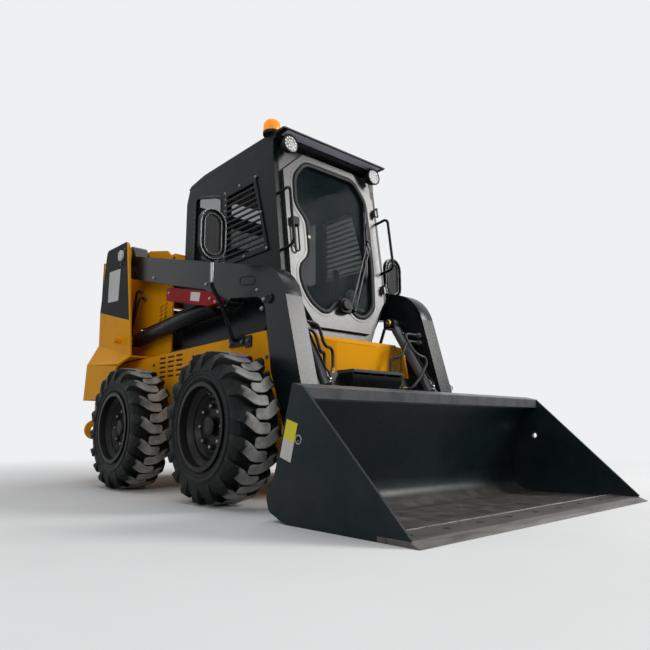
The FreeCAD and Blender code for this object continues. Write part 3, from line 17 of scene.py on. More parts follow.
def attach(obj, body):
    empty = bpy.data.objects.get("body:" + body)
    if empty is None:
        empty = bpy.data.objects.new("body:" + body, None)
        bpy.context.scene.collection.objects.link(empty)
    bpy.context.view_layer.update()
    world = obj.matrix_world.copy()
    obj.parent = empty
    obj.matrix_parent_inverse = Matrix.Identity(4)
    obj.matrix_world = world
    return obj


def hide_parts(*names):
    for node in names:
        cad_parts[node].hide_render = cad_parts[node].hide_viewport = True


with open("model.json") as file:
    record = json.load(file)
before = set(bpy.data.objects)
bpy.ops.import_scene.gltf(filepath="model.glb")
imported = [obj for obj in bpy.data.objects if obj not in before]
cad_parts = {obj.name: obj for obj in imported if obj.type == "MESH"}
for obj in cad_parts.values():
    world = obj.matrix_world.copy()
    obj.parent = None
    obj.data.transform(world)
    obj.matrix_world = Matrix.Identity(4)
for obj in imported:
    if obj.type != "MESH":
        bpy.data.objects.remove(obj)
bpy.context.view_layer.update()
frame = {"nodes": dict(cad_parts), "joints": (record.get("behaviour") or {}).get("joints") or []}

print("parts in the frame:", len(frame["nodes"]))

# %% [markdown]
# ## Stations
# A workshop drawing of such a machine measures along it from the middle of the wheelbase. The same
# habit is used here: `at(x, y, z)` takes a station in metres and gives the place in the frame. Left is
# +x and the bucket points to -y. Most outlines are drawn as seen from the side, so `side_line` stands
# a list of (y, z) up at one x.

# %% Stations and sides
axles = {
    joint["name"]: Vector(joint["pos_m"])
    for joint in frame["joints"] if joint["name"].startswith("wheel")
}
front_axle, rear_axle = axles["wheel_front_left"], axles["wheel_rear_left"]
middle_y = (front_axle.y + rear_axle.y) / 2
SIDES = (("left", 1), ("right", -1))
BOTH = [side for _, side in SIDES]
WHEELS = [(f"{end}_{hand}", side) for end in ("front", "rear") for hand, side in SIDES]


def at(x, y, z):
    return Vector((x, y + middle_y, z))


def side_line(x, outline):
    return [at(x, y, z) for y, z in outline]


print(f"wheelbase {rear_axle.y - front_axle.y:.3f} m, tyre radius {front_axle.z:.3f} m")

# %% [markdown]
# ## Camera
# The photographer knelt in front of the machine's right corner and looked slightly up, so the lens is
# at knee height. A lens of about 32 mm on a 36 mm sensor gives the same strong perspective on the
# bucket.

# %% Camera
SENSOR, LENS = 36, 32.36
PITCH, ROLL, HEADING = 10.15, 0.25, -41.6

camera_data = bpy.data.cameras.new("corner_view")
camera_data.sensor_width, camera_data.lens = SENSOR, LENS
camera = bpy.data.objects.new("corner_view", camera_data)
bpy.context.scene.collection.objects.link(camera)
camera.location = at(-2.3856, -3.2034, 0.3685)
camera.rotation_euler = [math.radians(turn) for turn in (90 + PITCH, ROLL, HEADING)]
bpy.context.scene.camera = camera
print("camera at", tuple(round(value, 3) for value in camera.location))

# %% [markdown]
# ## Shader arithmetic
# A finish is a small calculation that runs at every point of a surface: noise gives a number, a range
# turns the number into a mask, and the mask mixes two colours. Each step is one node. These helpers
# add a node, feed it and hand its output on, so that a finish can be read like a sum.

# %% Nodes as a sum
def feed(tree, socket, value):
    """Give a socket a number, a colour or the output of another node."""
    if isinstance(value, (int, float)):
        socket.default_value = value
    elif isinstance(value, tuple):
        socket.default_value = (*value, 1.0)
    else:
        tree.links.new(value, socket)


def fed(tree, kind, inputs):
    """A new node of a kind, with its named inputs fed."""
    node = tree.nodes.new("ShaderNode" + kind)
    for name, value in inputs.items():
        feed(tree, node.inputs[name], value)
    return node


def place_in(tree):
    return tree.nodes.new("ShaderNodeTexCoord").outputs["Object"]


def noise(tree, place, scale, detail=4.0, stretch=(1, 1, 1)):
    """Noise in metres, so that a finish has the same grain on a small and on a large part."""
    mapping = fed(tree, "Mapping", {"Vector": place})
    mapping.inputs["Scale"].default_value = stretch
    inputs = {"Scale": scale, "Detail": detail, "Vector": mapping.outputs["Vector"]}
    return fed(tree, "TexNoise", inputs).outputs["Fac"]


def ranged(tree, value, low, high, to_low=0.0, to_high=1.0):
    """Stretch low..high to to_low..to_high and hold it there beyond the ends."""
    inputs = {"Value": value, "From Min": low, "From Max": high, "To Min": to_low, "To Max": to_high}
    return fed(tree, "MapRange", inputs).outputs["Result"]


def above(tree, value, edge, soft=0.002):
    """A mask that is 1 past an edge."""
    return ranged(tree, value, edge - soft, edge + soft)


def mixed(tree, factor, first, second):
    """Mix two colours; each is a colour or a socket."""
    node = tree.nodes.new("ShaderNodeMix")
    node.data_type = "RGBA"
    for name, value in (("Factor", factor), ("A", first), ("B", second)):
        feed(tree, node.inputs[name], value)
    return node.outputs["Result"]


def calculated(tree, operation, *values):
    node = tree.nodes.new("ShaderNodeMath")
    node.operation = operation
    for socket, value in zip(node.inputs, values):
        feed(tree, socket, value)
    return node.outputs["Value"]


def product(tree, *values):
    """Masks multiplied: the result is 1 only where all of them are."""
    result = values[0]
    for value in values[1:]:
        result = calculated(tree, "MULTIPLY", result, value)
    return result


def distance(tree, vector):
    node = tree.nodes.new("ShaderNodeVectorMath")
    node.operation = "LENGTH"
    feed(tree, node.inputs[0], vector)
    return node.outputs["Value"]


print("shader helpers ready")

# %% [markdown]
# ## Finishes
# Paint, rubber and bare steel all start from the same shader. What tells them apart is how rough they
# are and how their colour breaks up: dust settles low down, edges rub bright, rubber fades. `finish`
# builds such a material from a few words, with noise for the break-up and a fine bump, so that no
# surface is one flat colour. `bend` is the index of refraction: the studio round the machine is pale,
# and a low one keeps dark and amber paint from looking milky under it.

# %% A maker of finishes
DUST = (0.33, 0.30, 0.26)


def finish(
    name, colour, worn, rough=(0.35, 0.5), metal=0.0, grain=40.0, bump=0.04, dust=0.0, coat=0.0,
    stretch=(1, 1, 1), sheen=0.5, bend=1.4,
):
    """A colour broken up with a worn one, dust that thins out upwards, and a fine bump."""
    material = bpy.data.materials.new(name)
    material.use_nodes = True
    tree = material.node_tree
    place = place_in(tree)
    patches = ranged(tree, noise(tree, place, grain * 0.08, 6.0, stretch), 0.45, 0.75)
    shade = mixed(tree, patches, colour, worn)
    if dust:
        height = fed(tree, "SeparateXYZ", {"Vector": place}).outputs["Z"]
        low = ranged(tree, height, 0.05, 0.9, dust, dust * 0.12)
        specks = ranged(tree, noise(tree, place, 9.0, 8.0), 0.35, 0.7)
        shade = mixed(tree, product(tree, low, specks), shade, DUST)
    fine = noise(tree, place, grain, 5.0, stretch)
    relief = fed(tree, "Bump", {"Strength": bump, "Distance": 0.002, "Height": fine})
    inputs = {
        "Base Color": shade,
        "Roughness": ranged(tree, fine, 0.3, 0.7, *rough),
        "Metallic": metal,
        "IOR": bend,
        "Coat Weight": coat,
        "Coat Roughness": 0.3,
        "Specular IOR Level": 0.5 if metal else sheen,
        "Normal": relief.outputs["Normal"],
    }
    shader = tree.nodes["Principled BSDF"]
    for socket, value in inputs.items():
        feed(tree, shader.inputs[socket], value)
    return material


# %% [markdown]
# ## The paint shop
# One table holds every plain finish. Colours are linear values, so they look darker here than on a
# paint chart: the black of the cab is really a blue-grey that reflects less than one percent. The
# front of the cab gets a lighter, glossier copy of that black than its sides: a painted sheen for the
# daylight mirrored in it.

# %% Paints, steels, rubbers and plastics
AMBER, AMBER_WORN = (0.74, 0.315, 0.005), (0.62, 0.255, 0.005)
BLACK, BLACK_WORN = (0.0055, 0.0080, 0.0092), (0.0095, 0.0120, 0.0130)
BUCKET, BUCKET_WORN = (0.0050, 0.0115, 0.0135), (0.0080, 0.0155, 0.0175)
AMBER_LOOK = dict(rough=(0.32, 0.44), bump=0.05, dust=0.03, bend=1.10)
BUCKET_LOOK = dict(rough=(0.27, 0.38), bump=0.02, dust=0.02, bend=1.24)


def grey(level):
    return (level, level, level)


FINISHES = {
    # name: colour, colour where it is worn, how it differs from a plain paint
    "amber_paint": (AMBER, AMBER_WORN, AMBER_LOOK),
    "black_paint": (BLACK, BLACK_WORN, dict(rough=(0.25, 0.33), bump=0.012, dust=0.02, bend=1.19)),
    "arm_paint": (BLACK, BLACK_WORN, dict(rough=(0.26, 0.28), bump=0.001, bend=1.29)),
    # painted sheen: a lighter, glossier copy of the cab's black, for the daylight mirrored in its front
    "front_paint_painted_sheen": (
        (0.013, 0.014, 0.016), (0.022, 0.023, 0.026),
        dict(rough=(0.32, 0.39), bump=0.01, coat=0.2, bend=1.44),
    ),
    # painted highlight: a pale grey for the light on the window seal's band and on the visor's edge
    "painted_highlight_trim": (
        (0.085, 0.087, 0.095), (0.065, 0.067, 0.073),
        dict(rough=(0.32, 0.39), bump=0.01, coat=0.25, bend=1.46),
    ),
    # grey enamel; on the tilt barrels the grey is partly their satin finish and partly a painted reflection
    "grey_enamel_barrel_sheen": ((0.060, 0.064, 0.068), (0.085, 0.088, 0.092), dict(rough=(0.26, 0.33), bump=0.01)),
    "bucket_paint": (BUCKET, BUCKET_WORN, BUCKET_LOOK),
    "rim_paint": (
        (0.0055, 0.0060, 0.0065), (0.010, 0.010, 0.011),
        dict(rough=(0.30, 0.40), bump=0.02, dust=0.03, bend=1.26),
    ),
    "red_paint": (
        (0.27, 0.007, 0.009), (0.18, 0.005, 0.007),
        dict(rough=(0.34, 0.45), bump=0.04, dust=0.03, bend=1.12),
    ),
    "bright_black": (
        (0.014, 0.015, 0.016), (0.030, 0.031, 0.032), dict(rough=(0.22, 0.36), bump=0.04, coat=0.5),
    ),
    # partly painted light: the liner's own pale colour, raised further to light an underside that is in shade
    "visor_grey_painted_light": ((0.44, 0.42, 0.50), (0.38, 0.365, 0.43), dict(rough=(0.45, 0.6), bump=0.04)),
    "grey_trim": ((0.085, 0.085, 0.10), (0.12, 0.12, 0.14), dict(rough=(0.45, 0.6), bump=0.05)),
    "blank_plate": (
        (0.52, 0.52, 0.50), (0.42, 0.42, 0.40), dict(rough=(0.35, 0.5), bump=0.02, dust=0.1),
    ),
    "plate_yellow": (
        (0.66, 0.58, 0.015), (0.54, 0.47, 0.015), dict(rough=(0.35, 0.5), bump=0.02, dust=0.1),
    ),
    "bare_steel": (
        (0.115, 0.108, 0.104), (0.050, 0.046, 0.043),
        dict(rough=(0.36, 0.55), metal=0.7, grain=60, bump=0.2, stretch=(1, 6, 1)),
    ),
    "weld_bright": (
        (0.15, 0.145, 0.14), (0.045, 0.043, 0.042),
        dict(rough=(0.35, 0.55), metal=0.4, grain=300, bump=0.8),
    ),
    "zinc": (
        (0.27, 0.27, 0.265), (0.17, 0.17, 0.165),
        dict(rough=(0.25, 0.42), metal=0.9, grain=120, bump=0.05),
    ),
    "chrome": ((0.62, 0.63, 0.64), (0.5, 0.51, 0.53), dict(rough=(0.08, 0.16), metal=1.0, bump=0.01)),
    "dark_chrome": (
        (0.095, 0.098, 0.102), (0.055, 0.058, 0.06), dict(rough=(0.2, 0.3), metal=1.0, bump=0.01),
    ),
    "brass": ((0.62, 0.42, 0.14), (0.40, 0.27, 0.10), dict(rough=(0.22, 0.4), metal=1.0)),
    "mirror_glass": (
        (0.55, 0.57, 0.6), (0.5, 0.52, 0.55), dict(rough=(0.02, 0.05), metal=1.0, bump=0.0),
    ),
    "engine_grey": (
        (0.05, 0.05, 0.052), (0.09, 0.085, 0.08), dict(rough=(0.5, 0.7), metal=0.3, bump=0.3, dust=0.3),
    ),
    "seal_rubber": (
        (0.008, 0.009, 0.010), (0.014, 0.015, 0.016), dict(rough=(0.45, 0.6), bump=0.03, bend=1.25),
    ),
    "hose_rubber": (
        (0.009, 0.009, 0.010), grey(0.018), dict(rough=(0.42, 0.55), grain=400, bump=0.3),
    ),
    "seat_vinyl": (
        (0.012, 0.012, 0.013), (0.020, 0.020, 0.022), dict(rough=(0.42, 0.58), grain=500, bump=0.35),
    ),
    "moulded_black": (
        (0.008, 0.009, 0.009), (0.014, 0.015, 0.015),
        dict(rough=(0.45, 0.6), grain=350, bump=0.10, bend=1.25),
    ),
    "dark_gap": (grey(0.005), grey(0.010), dict(rough=(0.6, 0.8), bump=0.1)),
    "milky_plastic": ((0.40, 0.42, 0.43), (0.32, 0.34, 0.34), dict(rough=(0.35, 0.5), bump=0.02)),
    "cream_plastic": ((0.62, 0.52, 0.32), (0.52, 0.43, 0.26), dict(rough=(0.35, 0.45), bump=0.02)),
    "lamp_bowl": (
        (0.13, 0.13, 0.135), (0.09, 0.09, 0.095), dict(rough=(0.2, 0.35), metal=0.6, bump=0.02),
    ),
    "lamp_dish": (grey(0.40), grey(0.28), dict(rough=(0.25, 0.35), metal=0.3, bump=0.02)),
}
finishes = {name: finish(name, colour, worn, **look) for name, (colour, worn, look) in FINISHES.items()}
print("finishes:", len(finishes))

# %% [markdown]
# ## Glass and lenses
# Cab glass is dark from outside because the cab behind it is dark, so it only needs a faint tint, a
# hard gloss and a little transparency. The beacon is cast orange plastic with a painted glow: a weak
# emission stands in for the light that passes through it.

# %% Glass and lenses
CLEAR = (
    # name, tint, how solid it is, roughness, painted glow, index of refraction
    ("cab_glass", (0.008, 0.016, 0.018), 0.50, 0.03, 0.0, 1.05),
    # painted glow: emission for daylight passing through the beacon's dome
    ("orange_lens", (0.95, 0.30, 0.02), 0.88, 0.12, 0.35, 1.3),
    ("red_lens", (0.45, 0.02, 0.015), 0.95, 0.12, 0.0, 1.3),
)


def clear(name, tint, alpha, rough, painted_glow, bend):
    material = bpy.data.materials.new(name)
    material.use_nodes = True
    tree = material.node_tree
    streaks = ranged(tree, noise(tree, place_in(tree), 5.0, 6.0, (1, 1, 0.3)), 0.4, 0.8)
    inputs = {
        "Base Color": mixed(tree, streaks, tint, tuple(0.7 * part + 0.02 for part in tint)),
        "Roughness": ranged(tree, streaks, 0.0, 1.0, rough, rough + 0.09),
        "Alpha": alpha,
        "IOR": bend,
        "Emission Color": tint,
        "Emission Strength": painted_glow,
    }
    shader = tree.nodes["Principled BSDF"]
    for socket, value in inputs.items():
        feed(tree, shader.inputs[socket], value)
    return material


for name, *look in CLEAR:
    finishes[name] = clear(name, *look)
print("finishes:", len(finishes))

# %% [markdown]
# ## Two colours on the towers
# The outer face of each tower is black above a slanting line and amber below it, while the front
# flange and the inner side stay amber. Masking tape would do it in the paint shop. Here each taped
# edge is a line through two stations, so the shader only has to know where a point is: outside the
# face, above the first line and behind the second.

# %% The tower's finish
TOWER_SKIN = 0.6605


def opened(name, colour, worn, **look):
    """A finish that takes a second colour: its tree, shader and colour, the place and its x, y, z."""
    finishes[name] = finish(name, colour, worn, **look)
    tree = finishes[name].node_tree
    shader = tree.nodes["Principled BSDF"]
    place = place_in(tree)
    parts = fed(tree, "SeparateXYZ", {"Vector": place}).outputs
    return tree, shader, shader.inputs["Base Color"].links[0].from_socket, place, parts


def beyond_line(tree, height, along, start, end):
    """1 where height is past the line through start and end, each a pair of (height, along)."""
    slope = (end[0] - start[0]) / (end[1] - start[1])
    level = calculated(tree, "SUBTRACT", height, calculated(tree, "MULTIPLY", along, slope))
    return above(tree, level, start[0] - slope * start[1])


tree, shader, amber, _, (x, y, z) = opened("tower_paint", AMBER, AMBER_WORN, **AMBER_LOOK)
outside = above(tree, calculated(tree, "ABSOLUTE", x), TOWER_SKIN, 0.0005)
low, high = at(0, 0.893, 1.164), at(0, 1.475, 1.306)
upper = beyond_line(tree, z, y, (low.z, low.y), (high.z, high.y))
front, back = at(0, 0.895, 1.158), at(0, 1.0, 1.70)
past_flange = beyond_line(tree, y, z, (front.y, front.z), (back.y, back.z))
black_here = product(tree, outside, upper, past_flange)
feed(tree, shader.inputs["Base Color"], mixed(tree, black_here, amber, BLACK))
print("tower finish ready")

# %% [markdown]
# ## Scraped steel, plated stems and the bumper
# Three more parts change finish along their length. The bucket is painted, but its floor is scraped to
# grey-brown steel as far up as a load slides, and its upper lip is a paler grey. The mirrors' stems are
# plated above the bend and painted below it. The bumper is black between its two amber ends.

# %% The bucket's, the stems' and the bumper's finishes
BUCKET_HALF_INSIDE = 0.894
SCRAPED, SCRAPED_PALE, LIP_PALE = (0.060, 0.053, 0.048), (0.105, 0.098, 0.095), (0.085, 0.086, 0.094)

tree, shader, paint, place, (x, y, z) = opened("bucket_steel", BUCKET, BUCKET_WORN, **BUCKET_LOOK)
low = ranged(tree, z, 0.020, 0.075, 1.0, 0.0)
half = calculated(tree, "ABSOLUTE", x)
between = ranged(tree, half, BUCKET_HALF_INSIDE, BUCKET_HALF_INSIDE + 0.0045, 1.0, 0.0)
lifted = ranged(tree, z, 0.004, 0.008)
streaks = ranged(tree, noise(tree, place, 5.0, 8.0, (3.0, 0.6, 1)), 0.28, 0.55, 0.45, 1.0)
spread = ranged(tree, noise(tree, place, 11.0, 9.0), 0.42, 0.66)
rust = mixed(tree, spread, SCRAPED, SCRAPED_PALE)
scuffed = mixed(tree, product(tree, low, between, lifted, streaks), paint, rust)
# the upper lip is painted a paler grey, in streaks
lip = product(tree, above(tree, z, 0.490, 0.003), between, streaks)
feed(tree, shader.inputs["Base Color"], mixed(tree, lip, scuffed, LIP_PALE))

STEM_LOOK = dict(rough=(0.30, 0.4), bump=0.01, bend=1.16)
tree, shader, black, _, (x, y, z) = opened("mirror_stem", BLACK, BLACK_WORN, **STEM_LOOK)
plated = calculated(tree, "SUBTRACT", above(tree, z, 1.185, 0.004), above(tree, z, 1.300, 0.004))
feed(tree, shader.inputs["Base Color"], mixed(tree, plated, black, (0.24, 0.245, 0.25)))
feed(tree, shader.inputs["Metallic"], plated)

BUMPER_AMBER_FROM = 0.605
tree, shader, amber, _, (x, y, z) = opened("bumper_paint", AMBER, AMBER_WORN, **AMBER_LOOK)
ends = above(tree, calculated(tree, "ABSOLUTE", x), BUMPER_AMBER_FROM)
feed(tree, shader.inputs["Base Color"], mixed(tree, ends, BLACK, amber))
print("finishes:", len(finishes))

# %% [markdown]
# ## Building blocks
# Every fitting on the machine is one of a few shapes: something turned on a lathe, a plate cut from
# sheet, a bar or hose that follows a line. A short helper for each keeps the pieces themselves down to
# tables of places. They all draw into a bmesh, so that many bolts or beads can share one object.

# %% Lathe, plate and bar
def drawings(count):
    """Empty drawings to be filled with fittings."""
    return [bmesh.new() for _ in range(count)]


def square_to(axis):
    """The axis and two directions square to it."""
    axis = Vector(axis).normalized()
    side = Vector((1, 0, 0)) if abs(axis.x) < 0.9 else Vector((0, 1, 0))
    first = (side - axis * side.dot(axis)).normalized()
    return axis, first, axis.cross(first)


def skin(form, first, second):
    """Faces between two rings of corners; a ring of one corner closes to a point."""
    for k in range(max(len(first), len(second))):
        quad = [ring[j % len(ring)] for ring, j in ((first, k), (first, k + 1), (second, k + 1), (second, k))]
        corners = list(dict.fromkeys(quad))
        if len(corners) > 2:
            form.faces.new(corners)


def skin_all(form, rings):
    for near, far in zip(rings, rings[1:]):
        skin(form, near, far)


def turned(form, profile, foot, axis, count=24):
    """Turn a profile of (radius, distance along the axis) about a line through foot."""
    axis, first, second = square_to(axis)
    foot = Vector(foot)
    turns = [2 * math.pi * (k + 0.5) / count for k in range(count)]
    rings = []
    for radius, along in profile:
        centre = foot + axis * along
        if radius < 1e-6:
            rings.append([form.verts.new(centre)])
            continue
        ring = [centre + (first * math.cos(t) + second * math.sin(t)) * radius for t in turns]
        rings.append([form.verts.new(point) for point in ring])
    skin_all(form, rings)


def plate(form, outline, push):
    """A sheet: the outline and its copy, pushed by the thickness, with walls between."""
    push = Vector(push)
    near = [form.verts.new(Vector(p)) for p in outline]
    far = [form.verts.new(Vector(p) + push) for p in outline]
    form.faces.new(list(reversed(near)))
    form.faces.new(far)
    skin(form, near, far)


def along_line(points, closed=False):
    """Points with their directions; the direction at a corner is the mean of its two runs."""
    points = [Vector(p) for p in points]
    last = len(points) - 1
    result = []
    for k, point in enumerate(points):
        before = points[k - 1] if k or closed else point
        after = points[(k + 1) % len(points)] if k < last or closed else point
        result.append((point, (after - before).normalized()))
    return result


def bar(form, points, section, normal=None, closed=False):
    """Sweep a section of (sideways, outwards) along points; normal is the outward side at the start."""
    run = along_line(points, closed)
    carried = Vector(normal) if normal else square_to(run[0][1])[1]
    rings = []
    for number, (point, way) in enumerate(run):
        carried = (carried - way * carried.dot(way)).normalized()
        across = way.cross(carried)
        shape = section(number) if callable(section) else section
        rings.append([form.verts.new(point + across * a + carried * b) for a, b in shape])
    if closed:
        rings.append(rings[0])
    else:
        form.faces.new(list(reversed(rings[0])))
        form.faces.new(rings[-1])
    skin_all(form, rings)


# %% [markdown]
# ## Sections and outlines
# Sharp corners give a model away, so outlines are rounded before they are cut or swept. Each corner
# becomes a short curve through its two neighbours, which is how a bent rod or a flame-cut plate looks.

# %% Sections and rounded outlines
def circle_of(radius, count=12):
    turns = [2 * math.pi * k / count for k in range(count)]
    return [(radius * math.cos(turn), radius * math.sin(turn)) for turn in turns]


def strip_of(half, thick):
    """The section of a flat strip."""
    return [(-half, -thick), (-half, thick), (half, thick), (half, -thick)]


def rounded(corners, radius, steps=5):
    """Round the corners of a flat outline. A radius may be one number or one for each corner."""
    corners = [Vector(c) for c in corners]
    result = []
    for k, corner in enumerate(corners):
        size = radius[k] if isinstance(radius, (list, tuple)) else radius
        back = corners[k - 1] - corner
        on = corners[(k + 1) % len(corners)] - corner
        reach = min(size, 0.46 * back.length, 0.46 * on.length)
        start, end = corner + back.normalized() * reach, corner + on.normalized() * reach
        for step in range(steps + 1):
            t = step / steps
            result.append(start * (1 - t) ** 2 + corner * 2 * t * (1 - t) + end * t * t)
    return result


def soft_line(corners, radius, steps=5):
    """An open line with rounded corners."""
    corners = [Vector(c) for c in corners]
    bends = rounded(corners, radius, steps)[steps + 1 : -(steps + 1)]
    return [corners[0]] + bends + [corners[-1]]


# %% [markdown]
# ## From a drawing to a piece
# A drawing becomes an object in one place: it gets its finish, shading that is smooth on curves and
# sharp at edges, and a small bevel where a real edge would be broken. Here it also says which body it
# rides on. A hexagon head on a washer is so common on a machine that it has a helper too.

# %% Piece and bolt
def crisp(mesh, angle=35):
    """Smooth faces with sharp edges where they meet at more than the angle."""
    form = bmesh.new()
    form.from_mesh(mesh)
    bmesh.ops.recalc_face_normals(form, faces=form.faces)
    for face in form.faces:
        face.smooth = True
    limit = math.radians(angle)
    for edge in form.edges:
        edge.smooth = len(edge.link_faces) == 2 and edge.calc_face_angle(0) < limit
    form.to_mesh(mesh)
    form.free()


def piece(name, form, paint, body, edge=0.0, angle=35):
    """Turn a drawing into an object with its finish, its body and a softened edge."""
    mesh = bpy.data.meshes.new(name)
    form.to_mesh(mesh)
    form.free()
    crisp(mesh, angle)
    mesh.materials.append(finishes[paint])
    made = bpy.data.objects.new(name, mesh)
    bpy.context.scene.collection.objects.link(made)
    if edge:
        bevel = made.modifiers.new("edge", "BEVEL")
        bevel.width = edge
        bevel.segments = 2
        bevel.limit_method = "ANGLE"
        bevel.harden_normals = True
    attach(made, body)
    print("made", name, "with", len(mesh.polygons), "faces")
    return made


def bolt(form, place, way, across=0.019):
    """A hexagon head on a washer."""
    half, high = across / 2, across * 0.6
    washer = [(0, 0), (half * 1.5, 0), (half * 1.5, 0.0018), (half * 1.4, 0.0024), (half * 1.1, 0.0024)]
    turned(form, washer, place, way, 20)
    head = [(0, 0), (half * 1.12, 0.0024), (half * 1.12, high * 0.82), (half * 0.94, high), (0, high)]
    turned(form, head, place, way, 6)


# %% [markdown]
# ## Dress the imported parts
# The solids that are right as they are only get a finish. A short table says which, and what is not in
# it is black. Two modifiers break their edges, which catches a thin line of light, as on real sheet.
# Glass, lenses, plated rods and the mirrors' stems keep the edges that they were made with.

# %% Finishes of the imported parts
PAINTED = {
    "amber_paint": ("main_frame", "front_panel", "engine_cover", "rear_door"),
    # the cab's front parts take the painted sheen copy of the black
    "front_paint_painted_sheen": ("door_frame", "cab_front_frame"),
    "bumper_paint": ("rear_bumper",),
    "arm_paint": ("arm_left", "arm_right"),
    # the tilt barrels' grey is partly a painted reflection
    "grey_enamel_barrel_sheen": ("tilt_barrel_left", "tilt_barrel_right", "front_step"),
    "tower_paint": ("tower_left", "tower_right"),
    "cab_glass": ("door_glass", "side_windows", "rear_window"),
    "chrome": ("lift_rod_left", "lift_rod_right", "tilt_rod_left", "tilt_rod_right"),
    "rim_paint": ("rim_front_left", "rim_front_right", "rim_rear_left", "rim_rear_right", "axle_hubs"),
    "bucket_steel": ("bucket",),
    "bucket_paint": ("quick_attach",),
    "bare_steel": ("cutting_edge",),
    "red_paint": ("safety_strut",),
    "orange_lens": ("beacon",),
    "moulded_black": ("work_lamps", "control_levers", "door_latch", "rear_lamps"),
    "hose_rubber": ("tower_hoses", "arm_hoses"),
    "seat_vinyl": ("seat",),
    "engine_grey": ("engine_block",),
    "mirror_stem": ("mirrors",),
}
EDGES_KEPT = ("cab_glass", "orange_lens", "chrome", "mirror_stem")
SHEET_EDGE = 0.0018

chosen = {node: paint for paint, nodes in PAINTED.items() for node in nodes}
for node, obj in frame["nodes"].items():
    paint = chosen.get(node, "black_paint")
    obj.data.materials.clear()
    obj.data.materials.append(finishes[paint])
    if paint not in EDGES_KEPT:
        merge = obj.modifiers.new("merge", "WELD")
        merge.merge_threshold = 0.00002
        soften = obj.modifiers.new("edge", "BEVEL")
        soften.width, soften.segments, soften.limit_method = SHEET_EDGE, 2, "ANGLE"
        soften.angle_limit = math.radians(40)
print("dressed:", len(frame["nodes"]))

# %% [markdown]
# ## Tyres
# Skid steer tyres carry tall slanted bars that hook into each other at the middle of the tread and run
# over the shoulder, so that mud is pushed out sideways. One bar is swept along its own line on the
# carcass and copied round by angle, and the carcass itself is turned. Two rings on the sidewall and a
# bead over the rim's flange keep it from looking like a plain drum.

# %% One tyre about its own axle
BAR_PAIRS, ROUND = 18, 104
BEAD_HALF, BEAD_RADIUS = 0.098, 0.2095
PITCH_RADIUS = 0.372
BAR_LINE = (
    # from the tread's middle, radius, lean of the outward side in degrees, lead, half width, height
    (-0.040, 0.358, 0, -0.010, 0.0140, 0.026),
    (-0.036, 0.358, 0, -0.010, 0.0215, 0.0288),
    (-0.024, 0.358, 0, -0.011, 0.0262, 0.0288),
    (-0.004, 0.358, 0, -0.012, 0.0266, 0.0288),
    (0.014, 0.3575, 0, -0.012, 0.0266, 0.0290),
    (0.032, 0.357, 1, -0.007, 0.0268, 0.0292),
    (0.054, 0.356, 2, 0.010, 0.0280, 0.0296),
    (0.078, 0.354, 5, 0.029, 0.0290, 0.0302),
    (0.096, 0.351, 18, 0.042, 0.0290, 0.0290),
    (0.109, 0.343, 48, 0.051, 0.0270, 0.0215),
    (0.117, 0.328, 74, 0.058, 0.0225, 0.0135),
    (0.1215, 0.310, 87, 0.064, 0.0165, 0.0078),
    (0.124, 0.296, 90, 0.068, 0.0080, 0.0034),
)
# the bar's section: share of the half width, share of the height
BAR_SECTION = ((-1.16, -0.12), (-1.0, 0.88), (-0.91, 1.0), (0.91, 1.0), (1.0, 0.88), (1.16, -0.12))
CARCASS = (
    # from the tread's middle, radius: bead, sidewall, shoulder, tread
    (-0.098, 0.2095), (-0.104, 0.2100), (-0.110, 0.2160), (-0.112, 0.2290), (-0.118, 0.2360),
    (-0.1225, 0.2440), (-0.1215, 0.2520), (-0.1235, 0.2640), (-0.1245, 0.2660), (-0.1245, 0.2690),
    (-0.1242, 0.2760), (-0.1242, 0.2980), (-0.1220, 0.3170), (-0.1170, 0.3350), (-0.1080, 0.3480),
    (-0.0950, 0.3540), (-0.0500, 0.3570), (0.0, 0.3580),
)


def tread_bar(form, side, turn):
    rows = []
    for x, radius, lean, lead, half, high in BAR_LINE:
        out = math.radians(lean)
        outward = Vector((math.sin(out), 0, math.cos(out)))
        rows.append((Vector((x, lead, radius)), outward, half, high))
    rings = []
    for k, (point, outward, half, high) in enumerate(rows):
        way = (rows[min(k + 1, len(rows) - 1)][0] - rows[max(k - 1, 0)][0]).normalized()
        across = way.cross(outward).normalized()
        ring = []
        for a, b in BAR_SECTION:
            local = point + across * half * a + outward * high * b
            angle = local.y / PITCH_RADIUS + turn
            spot = (side * local.x, local.z * math.sin(angle), local.z * math.cos(angle))
            ring.append(form.verts.new(spot))
        rings.append(ring)
    form.faces.new(rings[0])
    form.faces.new(list(reversed(rings[-1])))
    skin_all(form, rings)


def tyre_mesh():
    form = bmesh.new()
    across = list(CARCASS) + [(-x, r) for x, r in reversed(CARCASS[:-1])]
    profile = [(r, x) for x, r in across] + [(BEAD_RADIUS, BEAD_HALF), (BEAD_RADIUS, -BEAD_HALF)]
    turned(form, profile, (0, 0, 0), (1, 0, 0), ROUND)
    step = math.pi / BAR_PAIRS
    for k in range(BAR_PAIRS):
        tread_bar(form, -1, 2 * k * step)
        tread_bar(form, 1, (2 * k + 1) * step)
    for side in (-1, 1):
        for radius in (0.277, 0.284):
            foot, crest = side * 0.1238, side * 0.1262
            ring = [(radius - 0.0016, foot), (radius, crest), (radius + 0.0016, foot)]
            turned(form, ring, (0, 0, 0), (1, 0, 0), ROUND)
    return form


# %% [markdown]
# ## Worn rubber and a painted highlight
# New rubber is nearly black, but the tops of the bars are pale: partly scuffed as soon as the machine
# has turned on concrete, and partly a painted highlight for the light that falls on them. Powder stays
# in the grooves. Both depend only on the distance from the axle, so the shader measures it and needs no
# image. The same tyre mesh serves all four wheels, and on the right it is mirrored, so that the bars point
# the same way on both sides.

